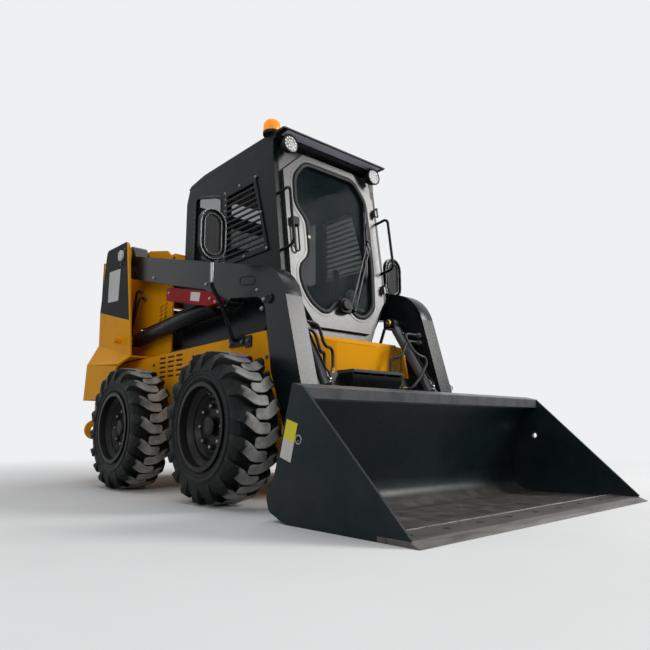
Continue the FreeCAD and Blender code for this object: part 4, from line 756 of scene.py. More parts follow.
# %% Rubber and the four tyres
TREAD_MIDDLE = 0.759
RUBBER, RUBBER_WORN = (0.0065, 0.0075, 0.0080), (0.012, 0.013, 0.013)
RUBBER_LOOK = dict(rough=(0.42, 0.62), grain=70, bump=0.25, sheen=0.3, bend=1.3)
POWDER, SCUFF_AND_SHEEN = (0.035, 0.033, 0.030), (0.300, 0.296, 0.285)

tree, shader, black, place, (x, y, z) = opened("tyre_rubber", RUBBER, RUBBER_WORN, **RUBBER_LOOK)
reach = distance(tree, fed(tree, "CombineXYZ", {"Y": y, "Z": z}).outputs["Vector"])
# the crown of each bar is painted pale: partly scuffing, partly a painted highlight for the light on the bar
# tops
crown = ranged(tree, reach, 0.3795, 0.3845)
scuffed = ranged(tree, noise(tree, place, 16.0, 7.0), 0.30, 0.62, 0.35, 1.0)
grooves = ranged(tree, reach, 0.30, 0.37)
settled = ranged(tree, noise(tree, place, 7.0, 6.0), 0.5, 0.8, 0.0, 0.35)
dusty = mixed(tree, product(tree, grooves, settled), black, POWDER)
feed(tree, shader.inputs["Base Color"], mixed(tree, product(tree, crown, scuffed), dusty, SCUFF_AND_SHEEN))

for wheel, side in WHEELS:
    body = f"wheel_{wheel}"
    tyre = piece(f"tyre_{wheel}_tread", tyre_mesh(), "tyre_rubber", body, angle=30)
    if side < 0:
        tyre.data.transform(Matrix.Scale(-1, 4, (1, 0, 0)))
        tyre.data.flip_normals()
    centre = axles[body].copy()
    centre.x = side * TREAD_MIDDLE
    tyre.matrix_world = Matrix.Translation(centre)
    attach(tyre, body)
    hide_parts(f"tyre_{wheel}")
print("tyre triangles:", sum(len(p.vertices) - 2 for p in tyre.data.polygons))

# %% [markdown]
# ## Wheel nuts
# Eight nuts sit on the studs of each rim, with a ring of bright thread showing, round a pressed hub
# cap. They are drawn on the rim's own bolt circle and share one object for each wheel.

# %% Nuts and hub caps
STUDS, STUD_CIRCLE = 8, 0.103
RIM_FACE, DISC_DEPTH, DISC_SHEET = 0.884, 0.062, 0.024
DISC_FACE = RIM_FACE - DISC_DEPTH - DISC_SHEET
NUT = (
    (0.0112, 0), (0.0165, 0), (0.0165, 0.003), (0.0145, 0.0032), (0.0145, 0.013), (0.0125, 0.0155),
    (0.0113, 0.0155),
)
THREAD = ((0.0085, 0.0156), (0.0085, 0.0225), (0.0074, 0.0240), (0, 0.0240))
HUB_CAP = (
    (0.050, 0.0235), (0.050, 0.030), (0.046, 0.035), (0.030, 0.038), (0.029, 0.0365), (0.0, 0.0365),
)
VALVE = ((0.0055, 0), (0.0055, 0.02), (0.004, 0.022), (0.004, 0.034), (0, 0.034))

for wheel, side in WHEELS:
    body = f"wheel_{wheel}"
    hub = Vector((side * DISC_FACE, axles[body].y, axles[body].z))
    out = Vector((side, 0, 0))
    form, bright = drawings(2)
    for k in range(STUDS):
        angle = 2 * math.pi * k / STUDS
        round_hub = Vector((0, math.cos(angle), math.sin(angle))) * STUD_CIRCLE
        spot = hub + round_hub + out * 0.0002
        turned(form, NUT, spot, out, 6)
        turned(bright, THREAD, spot, out, 14)
    turned(form, HUB_CAP, hub, out, 36)
    turned(bright, VALVE, hub + Vector((side * 0.012, 0, 0.158)), (side * 0.9, 0, 0.4), 12)
    piece(f"wheel_nuts_{wheel}", form, "rim_paint", body, edge=0.0006)
    piece(f"stud_ends_{wheel}", bright, "zinc", body)

# %% [markdown]
# ## The leaning front of the cab
# The door, its seal, the wiper and the latch all lie on one leaning plane. `on_front(x, rise, out)`
# measures along that plane and away from it, so a piece of the door can be drawn as flat as it was cut.

# %% Points on the leaning front
FRONT_FOOT_Y, FRONT_FOOT_Z, FRONT_TOP_Y, FRONT_TOP_Z = -0.681, 0.905, -0.545, 2.0
LEAN = math.atan((FRONT_TOP_Y - FRONT_FOOT_Y) / (FRONT_TOP_Z - FRONT_FOOT_Z))
UP = Vector((0, math.sin(LEAN), math.cos(LEAN)))
OUT = Vector((0, -math.cos(LEAN), math.sin(LEAN)))


def on_front(x, rise, out):
    return at(x, FRONT_FOOT_Y, FRONT_FOOT_Z) + UP * rise + OUT * out


def front_loop(corners, out):
    return [on_front(x, rise, out) for x, rise in corners]


print("lean of the front:", round(math.degrees(LEAN), 1), "degrees")

# %% [markdown]
# ## Door seals
# A thick rubber profile grips the edge of the door's sheet all round the window and holds the glass.
# It is swept along the window's outline with every corner rounded, which also hides the straight cuts
# of the sheet. A pale band runs round it as a painted highlight, for the light on the seal, and a
# second, thin seal closes the gap between the door and the cab.

# %% Window seal, painted highlight band and edge seal
DOOR_FACE = 0.0242
WINDOW = (
    # x, rise, radius of the corner
    (-0.120, 0.148, 0.045), (-0.172, 0.148, 0.06), (-0.250, 0.196, 0.05), (-0.308, 0.300, 0.06),
    (-0.308, 0.400, 0.05), (-0.226, 0.478, 0.05), (-0.226, 0.712, 0.05), (-0.308, 0.800, 0.05),
    (-0.302, 0.988, 0.05), (-0.210, 1.104, 0.05), (0.210, 1.104, 0.05), (0.302, 0.976, 0.05),
    (0.302, 0.500, 0.06), (0.272, 0.220, 0.06), (0.192, 0.148, 0.06), (0.112, 0.148, 0.04),
    (0.050, 0.212, 0.03), (-0.052, 0.212, 0.03),
)
DOOR_HALF = ((0.222, 0.045), (0.384, 0.276), (0.384, 1.011), (0.214, 1.167))
DOOR_EDGE = [(-x, rise) for x, rise in DOOR_HALF] + list(reversed(DOOR_HALF))
# sections: sideways over the sheet's edge, outwards from the door's face
WINDOW_SEAL = (
    (-0.015, 0), (-0.015, 0.004), (-0.011, 0.0075), (0.006, 0.0075), (0.012, 0.004), (0.013, -0.012),
    (0.009, -0.02), (0.004, -0.02), (0.003, 0),
)
HIGHLIGHT_BAND = ((-0.034, 0.0), (-0.033, 0.0018), (-0.019, 0.0024), (-0.018, 0.0))
EDGE_SEAL = ((-0.005, -0.0055), (-0.005, 0.004), (0.0, 0.007), (0.005, 0.004), (0.005, -0.0055))

window_corners = front_loop([(x, rise) for x, rise, _ in WINDOW], DOOR_FACE)
window_line = rounded(window_corners, [radius for *_, radius in WINDOW], 6)
edge_line = rounded(front_loop(DOOR_EDGE, 0.006), 0.02, 4)
for name, line, section, paint, slot in (
    ("door_window_seal", window_line, WINDOW_SEAL, "seal_rubber", "black_plastic"),
    # the pale band is a painted highlight on the seal
    ("door_window_border", window_line, HIGHLIGHT_BAND, "painted_highlight_trim", "satin_black"),
    ("door_edge_seal", edge_line, EDGE_SEAL, "seal_rubber", "black_plastic"),
):
    form = bmesh.new()
    bar(form, line, section, OUT, closed=True)
    piece(name, form, paint, "cab_door", angle=50)

# %% [markdown]
# ## Wiper
# The motor fills the notch at the foot of the window. Two thin arms keep the blade upright while it
# swings, and the blade itself is a row of bowed links over a rubber strip. They stand clear of the
# glass, so they are swept bars and not a texture. Points on the blade are found by their share of its
# length, and the links bow outwards between them.

# %% Wiper motor and arms
PIVOT, SECOND_PIVOT = (0.045, 0.185), (0.078, 0.176)
TIP, SECOND_TIP = (0.262, 0.652), (0.276, 0.618)
MOTOR = (
    (-0.040, 0.150), (0.040, 0.150), (0.044, 0.206), (0.020, 0.240), (-0.020, 0.240), (-0.044, 0.206),
)
MOTOR_DEEP = 0.034

form, dark = drawings(2)
plate(dark, rounded(front_loop(MOTOR, DOOR_FACE + 0.0002), 0.018, 5), OUT * MOTOR_DEEP)
motor_cap = ((0.034, 0.0), (0.034, 0.012), (0.030, 0.018), (0.0, 0.018))
turned(dark, motor_cap, on_front(-0.002, 0.196, DOOR_FACE + MOTOR_DEEP), OUT, 28)
for x, rise in (PIVOT, SECOND_PIVOT):
    shaft = ((0.011, 0.0), (0.011, 0.030), (0.008, 0.034), (0.0, 0.034))
    turned(form, shaft, on_front(x, rise, DOOR_FACE + 0.0002), OUT, 20)
for (x, rise), end, shift in ((PIVOT, TIP, 0.0), (SECOND_PIVOT, SECOND_TIP, 0.001)):
    elbow = on_front(x + 0.03, rise + 0.07, 0.058 + shift)
    points = [on_front(x, rise, 0.052 + shift), elbow, on_front(*end, 0.045 + shift)]
    bar(form, soft_line(points, 0.03), strip_of(0.0035, 0.0015), OUT)

# %% [markdown]
# The blade comes next, into the same two drawings.

# %% Wiper blade
BLADE_LOW, BLADE_HIGH = Vector((0.236, 0.400)), Vector((0.292, 0.944))
BLADE_SECTION = (
    (-0.003, 0), (-0.004, 0.010), (-0.006, 0.012), (-0.006, 0.016), (0.006, 0.016), (0.006, 0.012),
    (0.004, 0.010), (0.003, 0),
)
LINKS = (
    # share of the blade where the link starts and ends, how far it bows
    (0, 2 / 6, 0.010), (4 / 6, 1, 0.010), (1 / 6, 5 / 6, 0.019),
)


def on_blade(share, out):
    return on_front(*BLADE_LOW.lerp(BLADE_HIGH, share), out)


bar(dark, [on_blade(k / 6, 0.0085) for k in range(7)], BLADE_SECTION, OUT)
for start, end, bow in LINKS:
    bowed = ((0, 0.025), (0.2, 0.025 + bow), (0.5, 0.027 + bow), (0.8, 0.025 + bow), (1, 0.025))
    points = [on_blade(start + (end - start) * t, out) for t, out in bowed]
    bar(form, soft_line(points, 0.04), strip_of(0.004, 0.001), OUT)
turned(form, [(0.008, 0), (0.008, 0.020), (0.006, 0.022), (0, 0.022)], on_blade(0.5, 0.040), OUT, 14)
joint = [on_blade(0.5, 0.050), on_front(*TIP, 0.050), on_front(*SECOND_TIP, 0.050)]
bar(form, joint, strip_of(0.006, 0.002), OUT)
piece("wiper_arms", form, "black_paint", "cab_door")
piece("wiper_motor", dark, "moulded_black", "cab_door", edge=0.0008)

# %% [markdown]
# ## Washer bottle, lock knob and screws
# A milky bottle hangs behind the glass on a small bracket, and a cream knob locks the door. Both are
# turned, because bottles and knobs are round. Small screws hold the handle and the hinges.

# %% Small pieces of the door
BOTTLE = (
    (0, 0), (0.036, 0), (0.042, 0.006), (0.042, 0.13), (0.036, 0.15), (0.018, 0.162), (0.018, 0.172),
    (0, 0.172),
)
KNOB = ((0.007, 0), (0.009, 0.004), (0.011, 0.03), (0.011, 0.055), (0.008, 0.062), (0, 0.062))

form = bmesh.new()
turned(form, BOTTLE, on_front(0.186, 0.190, -0.075), UP, 32)
bracket = [(0.150, 0.20), (0.222, 0.20), (0.222, 0.215), (0.150, 0.215)]
plate(form, front_loop(bracket, -0.035), OUT * 0.0343)
piece("washer_bottle", form, "milky_plastic", "cab_door", edge=0.001)
form = bmesh.new()
turned(form, KNOB, on_front(-0.214, 0.596, 0.010), (0, 0.35, 1), 20)
turned(form, [(0.010, 0), (0.010, 0.010), (0, 0.010)], on_front(-0.228, 0.600, DOOR_FACE), OUT, 16)
piece("door_lock_knob", form, "cream_plastic", "cab_door", edge=0.0006)
form = bmesh.new()
for x, rise in ((-0.345, 0.520), (-0.345, 0.670), (-0.322, 0.660)):
    bolt(form, on_front(x, rise, DOOR_FACE), OUT, 0.010)
for rise in (0.333, 0.883):
    for step in (0.010, 0.030):
        bolt(form, on_front(0.370, rise + step, 0.0302), OUT, 0.010)
piece("door_screws", form, "bright_black", "cab_door")

# %% [markdown]
# ## Work lamps
# Each work lamp is a dish with a cluster of small diodes behind a clear face, in a black rim with
# cooling fins at its back. All of them catch bright points of light, and that is what the eye looks
# for on a dark cab, so each diode is turned as a small dish of its own.

# %% Work lamps
LAMP_X, CAB_TOP_FRONT, LAMP_DEEP, LAMP_Z = 0.360, -0.572, 0.050, 2.066
FORWARD = Vector((0, -1, 0))
LAMP_RIM = (
    (0.0485, -0.012), (0.0550, -0.006), (0.0555, 0.0045), (0.0535, 0.006), (0.0515, 0.0050),
    (0.0510, -0.001),
)
LAMP_BOWL = ((0.0515, 0.0003), (0.047, 0.0022), (0.0, 0.003))
DIODE = ((0.0084, 0), (0.0088, 0.0018), (0.0066, 0.0010), (0.0030, 0.0006), (0.0024, 0.0022), (0, 0.0026))
# distance from the middle and angle of each diode: one, a ring of six, a ring of twelve
CLUSTER = [(0.0, 0)] + [(0.0190, k * 60) for k in range(6)] + [(0.0375, k * 30 + 15) for k in range(12)]

bowl, diodes, rims = drawings(3)
for side in BOTH:
    centre = at(side * LAMP_X, CAB_TOP_FRONT - LAMP_DEEP, LAMP_Z)
    turned(rims, LAMP_RIM, centre, FORWARD, 44)
    turned(bowl, LAMP_BOWL, centre, FORWARD, 44)
    for reach, angle in CLUSTER:
        turn = math.radians(angle)
        spot = centre + Vector((reach * math.cos(turn), -0.0028, reach * math.sin(turn)))
        turned(diodes, DIODE, spot, FORWARD, 12)
    for k in range(8):
        x, y = side * LAMP_X - 0.028 + 0.008 * k, CAB_TOP_FRONT + 0.003
        low, high = LAMP_Z - 0.026, LAMP_Z + 0.026
        fin = [at(x, y, low), at(x + 0.002, y, low), at(x + 0.002, y, high), at(x, y, high)]
        plate(rims, fin, (0, 0.010, 0))
piece("lamp_rims", rims, "moulded_black", "chassis", edge=0.0004)
piece("lamp_bowls", bowl, "lamp_bowl", "chassis")
piece("lamp_diodes", diodes, "lamp_dish", "chassis")

# %% [markdown]
# ## Beacon
# The beacon's dome has fine upright ribs that scatter its light, over a black foot. Every other point
# of each ring is pulled in a little, which gives the ribs without a second mesh.

# %% Beacon
BEACON_FOOT = at(-0.412, -0.500, 2.1503)
RIBS, RIB_DEPTH = 36, 0.016
DOME = (
    (0.0525, 0.018), (0.0535, 0.030), (0.0530, 0.062), (0.0500, 0.078), (0.0445, 0.089),
    (0.034, 0.098), (0.020, 0.103), (0.0, 0.104),
)
SOCKET = ((0.0, 0.0), (0.0545, 0.0), (0.0560, 0.010), (0.0555, 0.018), (0.0525, 0.0185), (0.0, 0.0185))
BULB = ((0.012, 0.0225), (0.012, 0.040), (0.020, 0.046), (0.020, 0.062), (0.0, 0.066))

form = bmesh.new()
rings = []
for radius, high in DOME:
    ring = []
    for k in range(2 * RIBS if radius else 1):
        turn = math.pi * k / RIBS
        reach = radius * (1.0 - (RIB_DEPTH if k % 2 else 0.0))
        spot = BEACON_FOOT + Vector((reach * math.cos(turn), reach * math.sin(turn), high))
        ring.append(form.verts.new(spot))
    rings.append(ring)
skin_all(form, rings)
dome = piece("beacon_dome", form, "orange_lens", "chassis", angle=80)
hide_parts("beacon")
form = bmesh.new()
turned(form, SOCKET, BEACON_FOOT, (0, 0, 1), 40)
turned(form, BULB, BEACON_FOOT, (0, 0, 1), 20)
foot = piece("beacon_foot", form, "moulded_black", "chassis", angle=50)
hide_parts("beacon")

# %% [markdown]
# ## Mirrors
# The mirrors are held in a loop of bent round bar, with a second, thinner loop inside it. The glass
# looks back along the machine. One outline with round ends, made smaller step by step, serves the two
# loops, the shell and the glass.

# %% Mirrors
MIRROR_X, MIRROR_Y, MIRROR_Z = 0.757, -0.400, 1.459
MIRROR_HALF, MIRROR_RISE = 0.084, 0.150


def long_loop(side, shift, inset, steps=10):
    """An upright loop with round ends, shifted backwards and made smaller."""
    half, rise = MIRROR_HALF - inset, MIRROR_RISE - inset
    points = []
    for turn, middle in ((0, MIRROR_Z + rise - half), (math.pi, MIRROR_Z - rise + half)):
        for k in range(steps + 1):
            angle = turn + math.pi * k / steps
            x = side * MIRROR_X + half * math.cos(angle)
            points.append(at(x, MIRROR_Y + shift, middle + half * math.sin(angle)))
    return points


rods, backs, glass = drawings(3)
for side in BOTH:
    bar(rods, long_loop(side, -0.027, 0.004), circle_of(0.0048, 10), FORWARD, closed=True)
    bar(rods, long_loop(side, -0.024, 0.030), circle_of(0.0036, 8), FORWARD, closed=True)
    plate(backs, long_loop(side, -0.018, 0.013), (0, 0.012, 0))
    plate(glass, long_loop(side, -0.0058, 0.017), (0, 0.0015, 0))
piece("mirror_loops", rods, "dark_chrome", "chassis", angle=60)
piece("mirror_backs", backs, "moulded_black", "chassis", edge=0.0015)
piece("mirror_glass", glass, "mirror_glass", "chassis")

# %% [markdown]
# ## Cab sides and visor
# A row of small rivets holds the lining on each side of the rear quarter, the slatted screen is bolted
# on, and a thin seal runs round each pane. The visor has a folded edge and a row of rivets on top, both
# painted pale as a painted highlight, and below them a liner whose pale colour is partly its own and partly
# painted light in its shade.

# %% Rivets, screen bolts and side seals
CAB_SIDE, SCREEN_FACE = 0.4342, 0.4432
ROWS = (
    # x, y and z of the first rivet, y and z of the last, count
    (SCREEN_FACE, (-0.034, 1.905), (-0.034, 1.435), 13), (CAB_SIDE, (0.390, 1.905), (0.390, 1.540), 11),
)
SCREEN_BOLTS = (
    (-0.030, 1.424), (-0.030, 1.912), (-0.505, 1.424), (-0.380, 1.912), (-0.268, 1.424),
    (-0.200, 1.912), (-0.440, 1.665), (-0.024, 1.665),
)
PANES = (
    # corners in y and z, radius of the corners
    (((-0.491, 1.440), (-0.351, 1.900), (-0.040, 1.900), (-0.040, 1.440)), 0.03),
    (((0.030, 1.440), (0.030, 1.915), (0.382, 2.010), (0.382, 1.440)), 0.05),
)
PANE_SEAL = (
    (-0.010, -0.001), (-0.008, 0.0035), (0.006, 0.0035), (0.010, 0.0), (0.009, -0.014),
    (0.004, -0.014), (0.003, -0.001),
)
RIVET = ((0.0058, 0), (0.0055, 0.0016), (0.0036, 0.0030), (0, 0.0034))

rivets, bolts, seals = drawings(3)
for side in BOTH:
    out = Vector((side, 0, 0))
    for x, first, last, count in ROWS:
        for k in range(count):
            y, z = Vector(first).lerp(Vector(last), k / (count - 1))
            turned(rivets, RIVET, at(side * x, y, z), out, 10)
    for y, z in SCREEN_BOLTS:
        bolt(bolts, at(side * SCREEN_FACE, y, z), out, 0.012)
    for corners, radius in PANES:
        line = rounded(side_line(side * CAB_SIDE, corners), radius, 5)
        bar(seals, line, PANE_SEAL, out, closed=True)
piece("cab_rivets", rivets, "zinc", "chassis", angle=50)
piece("screen_bolts", bolts, "zinc", "chassis")
piece("side_window_seals", seals, "seal_rubber", "chassis", angle=50)

# %% [markdown]
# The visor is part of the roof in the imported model. Only its folded edge, its rivets and its liner are
# added.

# %% Visor edge and liner
VISOR_FOLD = ((-0.003, -0.001), (-0.004, 0.004), (0.0, 0.006), (0.004, 0.004), (0.003, -0.001))
VISOR_RIVET = ((0.0045, 0), (0.0045, 0.0012), (0.003, 0.0022), (0, 0.0024))
VISOR_RIVETS = 22

form = bmesh.new()
bar(form, [at(x, -0.6555, 2.1365) for x in (-0.434, 0.434)], VISOR_FOLD, FORWARD)
for k in range(VISOR_RIVETS):
    x = -0.40 + 0.8 * k / (VISOR_RIVETS - 1)
    turned(form, VISOR_RIVET, at(x, -0.630, 2.1475), (0, -0.1, 1), 8)
# the fold and its rivets take the pale painted highlight
piece("visor_edge", form, "painted_highlight_trim", "chassis", angle=50)
form = bmesh.new()
liner = [(-0.40, -0.648), (0.40, -0.648), (0.40, -0.578), (-0.40, -0.578)]
plate(form, [at(x, y, 2.1296) for x, y in liner], (0, 0, -0.0012))
# the liner's pale colour is partly its own and partly painted light
piece("visor_liner", form, "visor_grey_painted_light", "chassis")

# %% [markdown]
# ## Seat
# The seat is foam under vinyl, so it must bulge between its seams and pull in at its corners. Each pad
# starts as a slightly smaller block, is remeshed evenly, and is then blown up for a few frames by the
# cloth solver with no gravity. A cap on how far a point may move keeps it inside its shell. Piping is
# laid on afterwards, because the remesh would eat it.

# %% Pads
PADS = (
    # name, half width, outline in y and z
    ("seat_cushion", 0.200, (
        (-0.135, 1.080), (-0.145, 1.150), (-0.105, 1.176), (0.176, 1.152), (0.176, 1.080),
    )),
    ("seat_back", 0.195, (
        (0.210, 1.165), (0.283, 1.690), (0.320, 1.698), (0.345, 1.668), (0.285, 1.165),
    )),
)
TRAVEL, VOXEL, FRAMES, PRESSURE = 0.012, 0.012, 14, 4.0


def keep_modified(pad):
    """Replace the mesh by what its modifiers show, and drop them."""
    bpy.context.view_layer.update()
    shown = pad.evaluated_get(bpy.context.evaluated_depsgraph_get())
    mesh = bpy.data.meshes.new_from_object(shown)
    pad.modifiers.clear()
    pad.data = mesh


def blow_up(pad):
    cloth = pad.modifiers.new("blow", "CLOTH")
    cloth.settings.use_pressure = True
    cloth.settings.uniform_pressure_force = PRESSURE
    cloth.settings.effector_weights.gravity = 0.0
    cloth.settings.quality = 4
    cloth.point_cache.frame_start, cloth.point_cache.frame_end = 1, FRAMES
    for number in range(1, FRAMES + 1):
        bpy.context.scene.frame_set(number)
    keep_modified(pad)
    bpy.context.scene.frame_set(1)


def settle(pad):
    """Remesh, inflate with cloth, cap the travel and keep the result as plain mesh."""
    rounder = pad.modifiers.new("corners", "BEVEL")
    rounder.width, rounder.segments = 0.022, 3
    grid = pad.modifiers.new("grid", "REMESH")
    grid.mode, grid.voxel_size = "VOXEL", VOXEL
    relax = pad.modifiers.new("relax", "SMOOTH")
    relax.iterations = 4
    keep_modified(pad)
    before = [vertex.co.copy() for vertex in pad.data.vertices]
    blow_up(pad)
    for vertex, start in zip(pad.data.vertices, before):
        move = vertex.co - start
        if move.length > TRAVEL:
            vertex.co = start + move * (TRAVEL / move.length)
    finer = pad.modifiers.new("finer", "SUBSURF")
    finer.levels = finer.render_levels = 1
    for face in pad.data.polygons:
        face.use_smooth = True


for name, half, outline in PADS:
    form = bmesh.new()
    plate(form, side_line(-half, outline), (2 * half, 0, 0))
    bmesh.ops.recalc_face_normals(form, faces=form.faces)
    pad = piece(name, form, "seat_vinyl", "chassis")
    settle(pad)
    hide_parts("seat")
    print(name, len(pad.data.vertices), "points")

# %% [markdown]
# ## Seat shell and piping
# A moulded shell carries the pads: two cheeks and a bent pan between them, all cut from sheet. The
# piping is thin round cord along the sewn channels.

# %% Seat shell and piping
CHEEK = ((-0.120, 1.072), (-0.120, 1.130), (0.18, 1.160), (0.262, 1.60), (0.315, 1.60), (0.290, 1.072))
PAN = ((-0.140, 1.0675), (-0.140, 1.078), (0.268, 1.078), (0.330, 1.60), (0.342, 1.60), (0.290, 1.0675))
PAN_HALF, CHEEK_OUT, CHEEK_THICK = 0.203, 0.215, 0.012
PIPING = (
    # half distance, line in y and z, outward side
    (0.125, ((-0.138, 1.184), (0.020, 1.183), (0.158, 1.168)), (0, 0, 1)),
    (0.12, ((0.212, 1.20), (0.240, 1.44), (0.274, 1.675)), (0, -1, 0)),
)

form = bmesh.new()
for side in (-1, 1):
    cheek = rounded(side_line(side * CHEEK_OUT, CHEEK), 0.03, 4)
    plate(form, cheek, (-side * CHEEK_THICK, 0, 0))
plate(form, side_line(-PAN_HALF, PAN), (2 * PAN_HALF, 0, 0))
piece("seat_shell", form, "moulded_black", "chassis", edge=0.002)
form = bmesh.new()
for half, line, outward in PIPING:
    for x in (-half, half):
        bar(form, side_line(x, line), circle_of(0.003, 8), outward)
piece("seat_piping", form, "grey_trim", "chassis", angle=60)

# %% [markdown]
# ## Weld beads
# A hand-laid weld is a row of small overlapping drops. It is swept like a bar whose size ripples from
# step to step, with a seeded generator, so that the beads come out the same at every run.

# %% Weld beads
rippling = random.Random(7)
PASSED_OVER = 8  # sizes passed over before the first bead
for _ in range(PASSED_OVER):
    rippling.random()


def bead(form, points, radius, pitch, up):
    """A rippled weld bead along a line."""
    line = []
    for start, end in zip(points, points[1:]):
        steps = max(1, int((end - start).length / pitch))
        line += [start.lerp(end, k / steps) for k in range(steps)]
    line.append(points[-1])
    sizes = [radius * rippling.uniform(0.72, 1.12) for point in line]
    bar(form, line, lambda k: circle_of(sizes[k], 6), up)


print("bead helper ready")

# %% [markdown]
# ## Arms
# The lift arms are welded boxes. Bolts, the keepers that stop the pins from turning and a pressed oval
# tell the eye how thick the plate is. A keeper is a round pin end with a short strap and one bolt, so
# one helper draws it at any pin.

# %% Pin keepers, bolts and the pressed oval
ARM_FACE, FOOT_FACE = 0.6002, 0.6172
KEEPERS = (
    # x, y, z, radius of the pin end, length of the strap, turn of the strap
    (ARM_FACE, -0.761, 1.052, 0.027, 0.036, 0.03),
    (FOOT_FACE, -1.040, 0.215, 0.032, 0.045, 1.9),
)
ARM_BOLTS = (
    # y, z, across the flats
    (-0.688, 1.009, 0.016), (-0.092, 1.255, 0.016), (0.645, 1.444, 0.016), (-0.640, 1.120, 0.013),
)
OVAL = ((-0.468, 1.226), (-0.618, 1.206), (-0.618, 1.158), (-0.468, 1.178))
OVAL_RIM = ((-0.006, -0.0005), (-0.004, 0.0022), (0.004, 0.0022), (0.006, -0.0005))
STRAP_HALF, STRAP_THICK = 0.014, 0.006


def keeper(plates, heads, spot, out, radius, reach, turn):
    """A pin's end with its keeper plate and one bolt."""
    end = (
        (radius, 0), (radius, 0.008), (radius * 0.86, 0.012), (radius * 0.3, 0.012),
        (radius * 0.26, 0.009), (0, 0.009),
    )
    turned(plates, end, spot, out, 28)
    way = Vector((0, math.cos(turn), math.sin(turn)))
    cross = Vector((0, -way.z, way.y)) * STRAP_HALF
    near, far = spot + way * radius * 0.5, spot + way * (radius + reach)
    outline = [near - cross, far - cross, far + cross, near + cross]
    plate(plates, rounded(outline, 0.008, 4), out * STRAP_THICK)
    bolt(heads, spot + way * (radius + reach * 0.62) + out * STRAP_THICK, out, 0.016)


keepers, heads = drawings(2)
for side in BOTH:
    out = Vector((side, 0, 0))
    for x, y, z, *sizes in KEEPERS:
        keeper(keepers, heads, at(side * x, y, z), out, *sizes)
    for y, z, across in ARM_BOLTS:
        bolt(heads, at(side * ARM_FACE, y, z), out, across)
    oval = rounded(side_line(side * ARM_FACE, OVAL), 0.03, 6)
    bar(keepers, oval, OVAL_RIM, out, closed=True)
piece("arm_pin_keepers", keepers, "black_paint", "lift_arms", edge=0.0006)
piece("arm_bolt_heads", heads, "zinc", "lift_arms")

# %% [markdown]
# The tilt cylinders hang on pins whose brass-coloured heads face each other between the arms, each with
# a grease nipple.

# %% Tilt pins
TILT_X, TILT_Y, TILT_Z = 0.415, -0.715, 1.038
EYE_HALF, EYE_PLAY, LUG_SHEET, HEAD_PLAY = 0.020, 0.003, 0.012, 0.0045
PIN_HEAD = (
    (0.0, 0.0), (0.0162, 0.0), (0.0162, 0.003), (0.0245, 0.0035), (0.0245, 0.010), (0.021, 0.013),
    (0.0, 0.013),
)
NIPPLE = ((0.004, 0.013), (0.004, 0.018), (0.0055, 0.019), (0.0045, 0.024), (0, 0.024))

form = bmesh.new()
for side in BOTH:
    head = at(side * (TILT_X - EYE_HALF - EYE_PLAY - LUG_SHEET - HEAD_PLAY), TILT_Y, TILT_Z)
    turned(form, PIN_HEAD, head, (-side, 0, 0), 28)
    turned(form, NIPPLE, head, (-side, 0, 0), 12)
piece("tilt_pin_heads", form, "brass", "lift_arms", edge=0.0006)

# %% [markdown]
# ## Hose ends
# Every hose ends in a swaged ferrule and a hexagon nut. The nuts are brass on the quick couplers
# between the arms and zinc elsewhere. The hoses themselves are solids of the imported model.

# %% Hose ends
RIGHTWARDS, LEFTWARDS, UPWARDS = (-1, 0, 0), (1, 0, 0), (0, 0, 1)
HOSE_ENDS = {
    # finish and body: x, y, z of the seat, direction
    ("zinc", "lift_arms"): (
        (-0.4897, -0.880, 0.930, LEFTWARDS), (-0.4897, -0.880, 0.890, LEFTWARDS),
        (0.4897, -0.872, 0.950, RIGHTWARDS), (0.4897, -0.872, 0.905, RIGHTWARDS),
    ),
    ("brass", "lift_arms"): (
        (-0.236, -0.850, 0.6723, UPWARDS), (-0.298, -0.850, 0.6723, UPWARDS),
        (0.236, -0.850, 0.6723, UPWARDS), (0.270, -0.9174, 0.600, (0, -1, 0)),
    ),
    ("zinc", "chassis"): (
        (0.4823, 1.095, 1.440, LEFTWARDS), (0.4823, 1.010, 1.370, LEFTWARDS),
        (-0.4823, 1.095, 1.440, RIGHTWARDS), (-0.4823, 1.010, 1.370, RIGHTWARDS),
        (0.5263, 1.150, 0.9013, UPWARDS), (0.5583, 1.190, 0.9013, UPWARDS),
        (-0.5263, 1.150, 0.9013, UPWARDS), (-0.5583, 1.190, 0.9013, UPWARDS),
    ),
}
HOSE_NUT = ((0.0131, 0.0002), (0.0172, 0.0004), (0.0172, 0.011), (0.0155, 0.0125), (0.0131, 0.0125))
FERRULE = ((0.0131, 0.0165), (0.0146, 0.0165), (0.0146, 0.020), (0.0131, 0.0205))
COLLAR = ((0.0131, 0.0222), (0.0146, 0.0222), (0.0146, 0.0262), (0.0100, 0.0268), (0.0091, 0.0262))

for (paint, body), ends in HOSE_ENDS.items():
    form = bmesh.new()
    for x, y, z, way in ends:
        turned(form, HOSE_NUT, at(x, y, z), way, 6)
        turned(form, FERRULE, at(x, y, z), way, 20)
        turned(form, COLLAR, at(x, y, z), way, 20)
    piece(f"{body}_hose_nuts_{paint}", form, paint, body, angle=40)

# %% [markdown]
# ## Cylinders
# Each cylinder has a gland ring where its rod comes out, and a hard pipe along the barrel between two
# ports, because oil has to reach both ends. The pipe dips towards the barrel between its elbows. All
# of it is drawn along the line from the base pin to the rod's eye, and it rides on the barrel.

# %% Glands, ports and hard pipes
CYLINDERS = (
    # name, x, base y and z, eye y and z, barrel radius, rod radius, gland at, pipe stands off by
    ("lift", 0.545, (1.030, 1.030), (-0.280, 1.128), 0.052, 0.024, 1.185, 0.0185),
    ("tilt", 0.415, (-0.715, 1.038), (-1.120, 0.410), 0.031, 0.016, 0.590, 0.0095),
)
FIRST_PORT, PORT_FROM_GLAND, PIPE = 0.11, 0.075, 0.0055


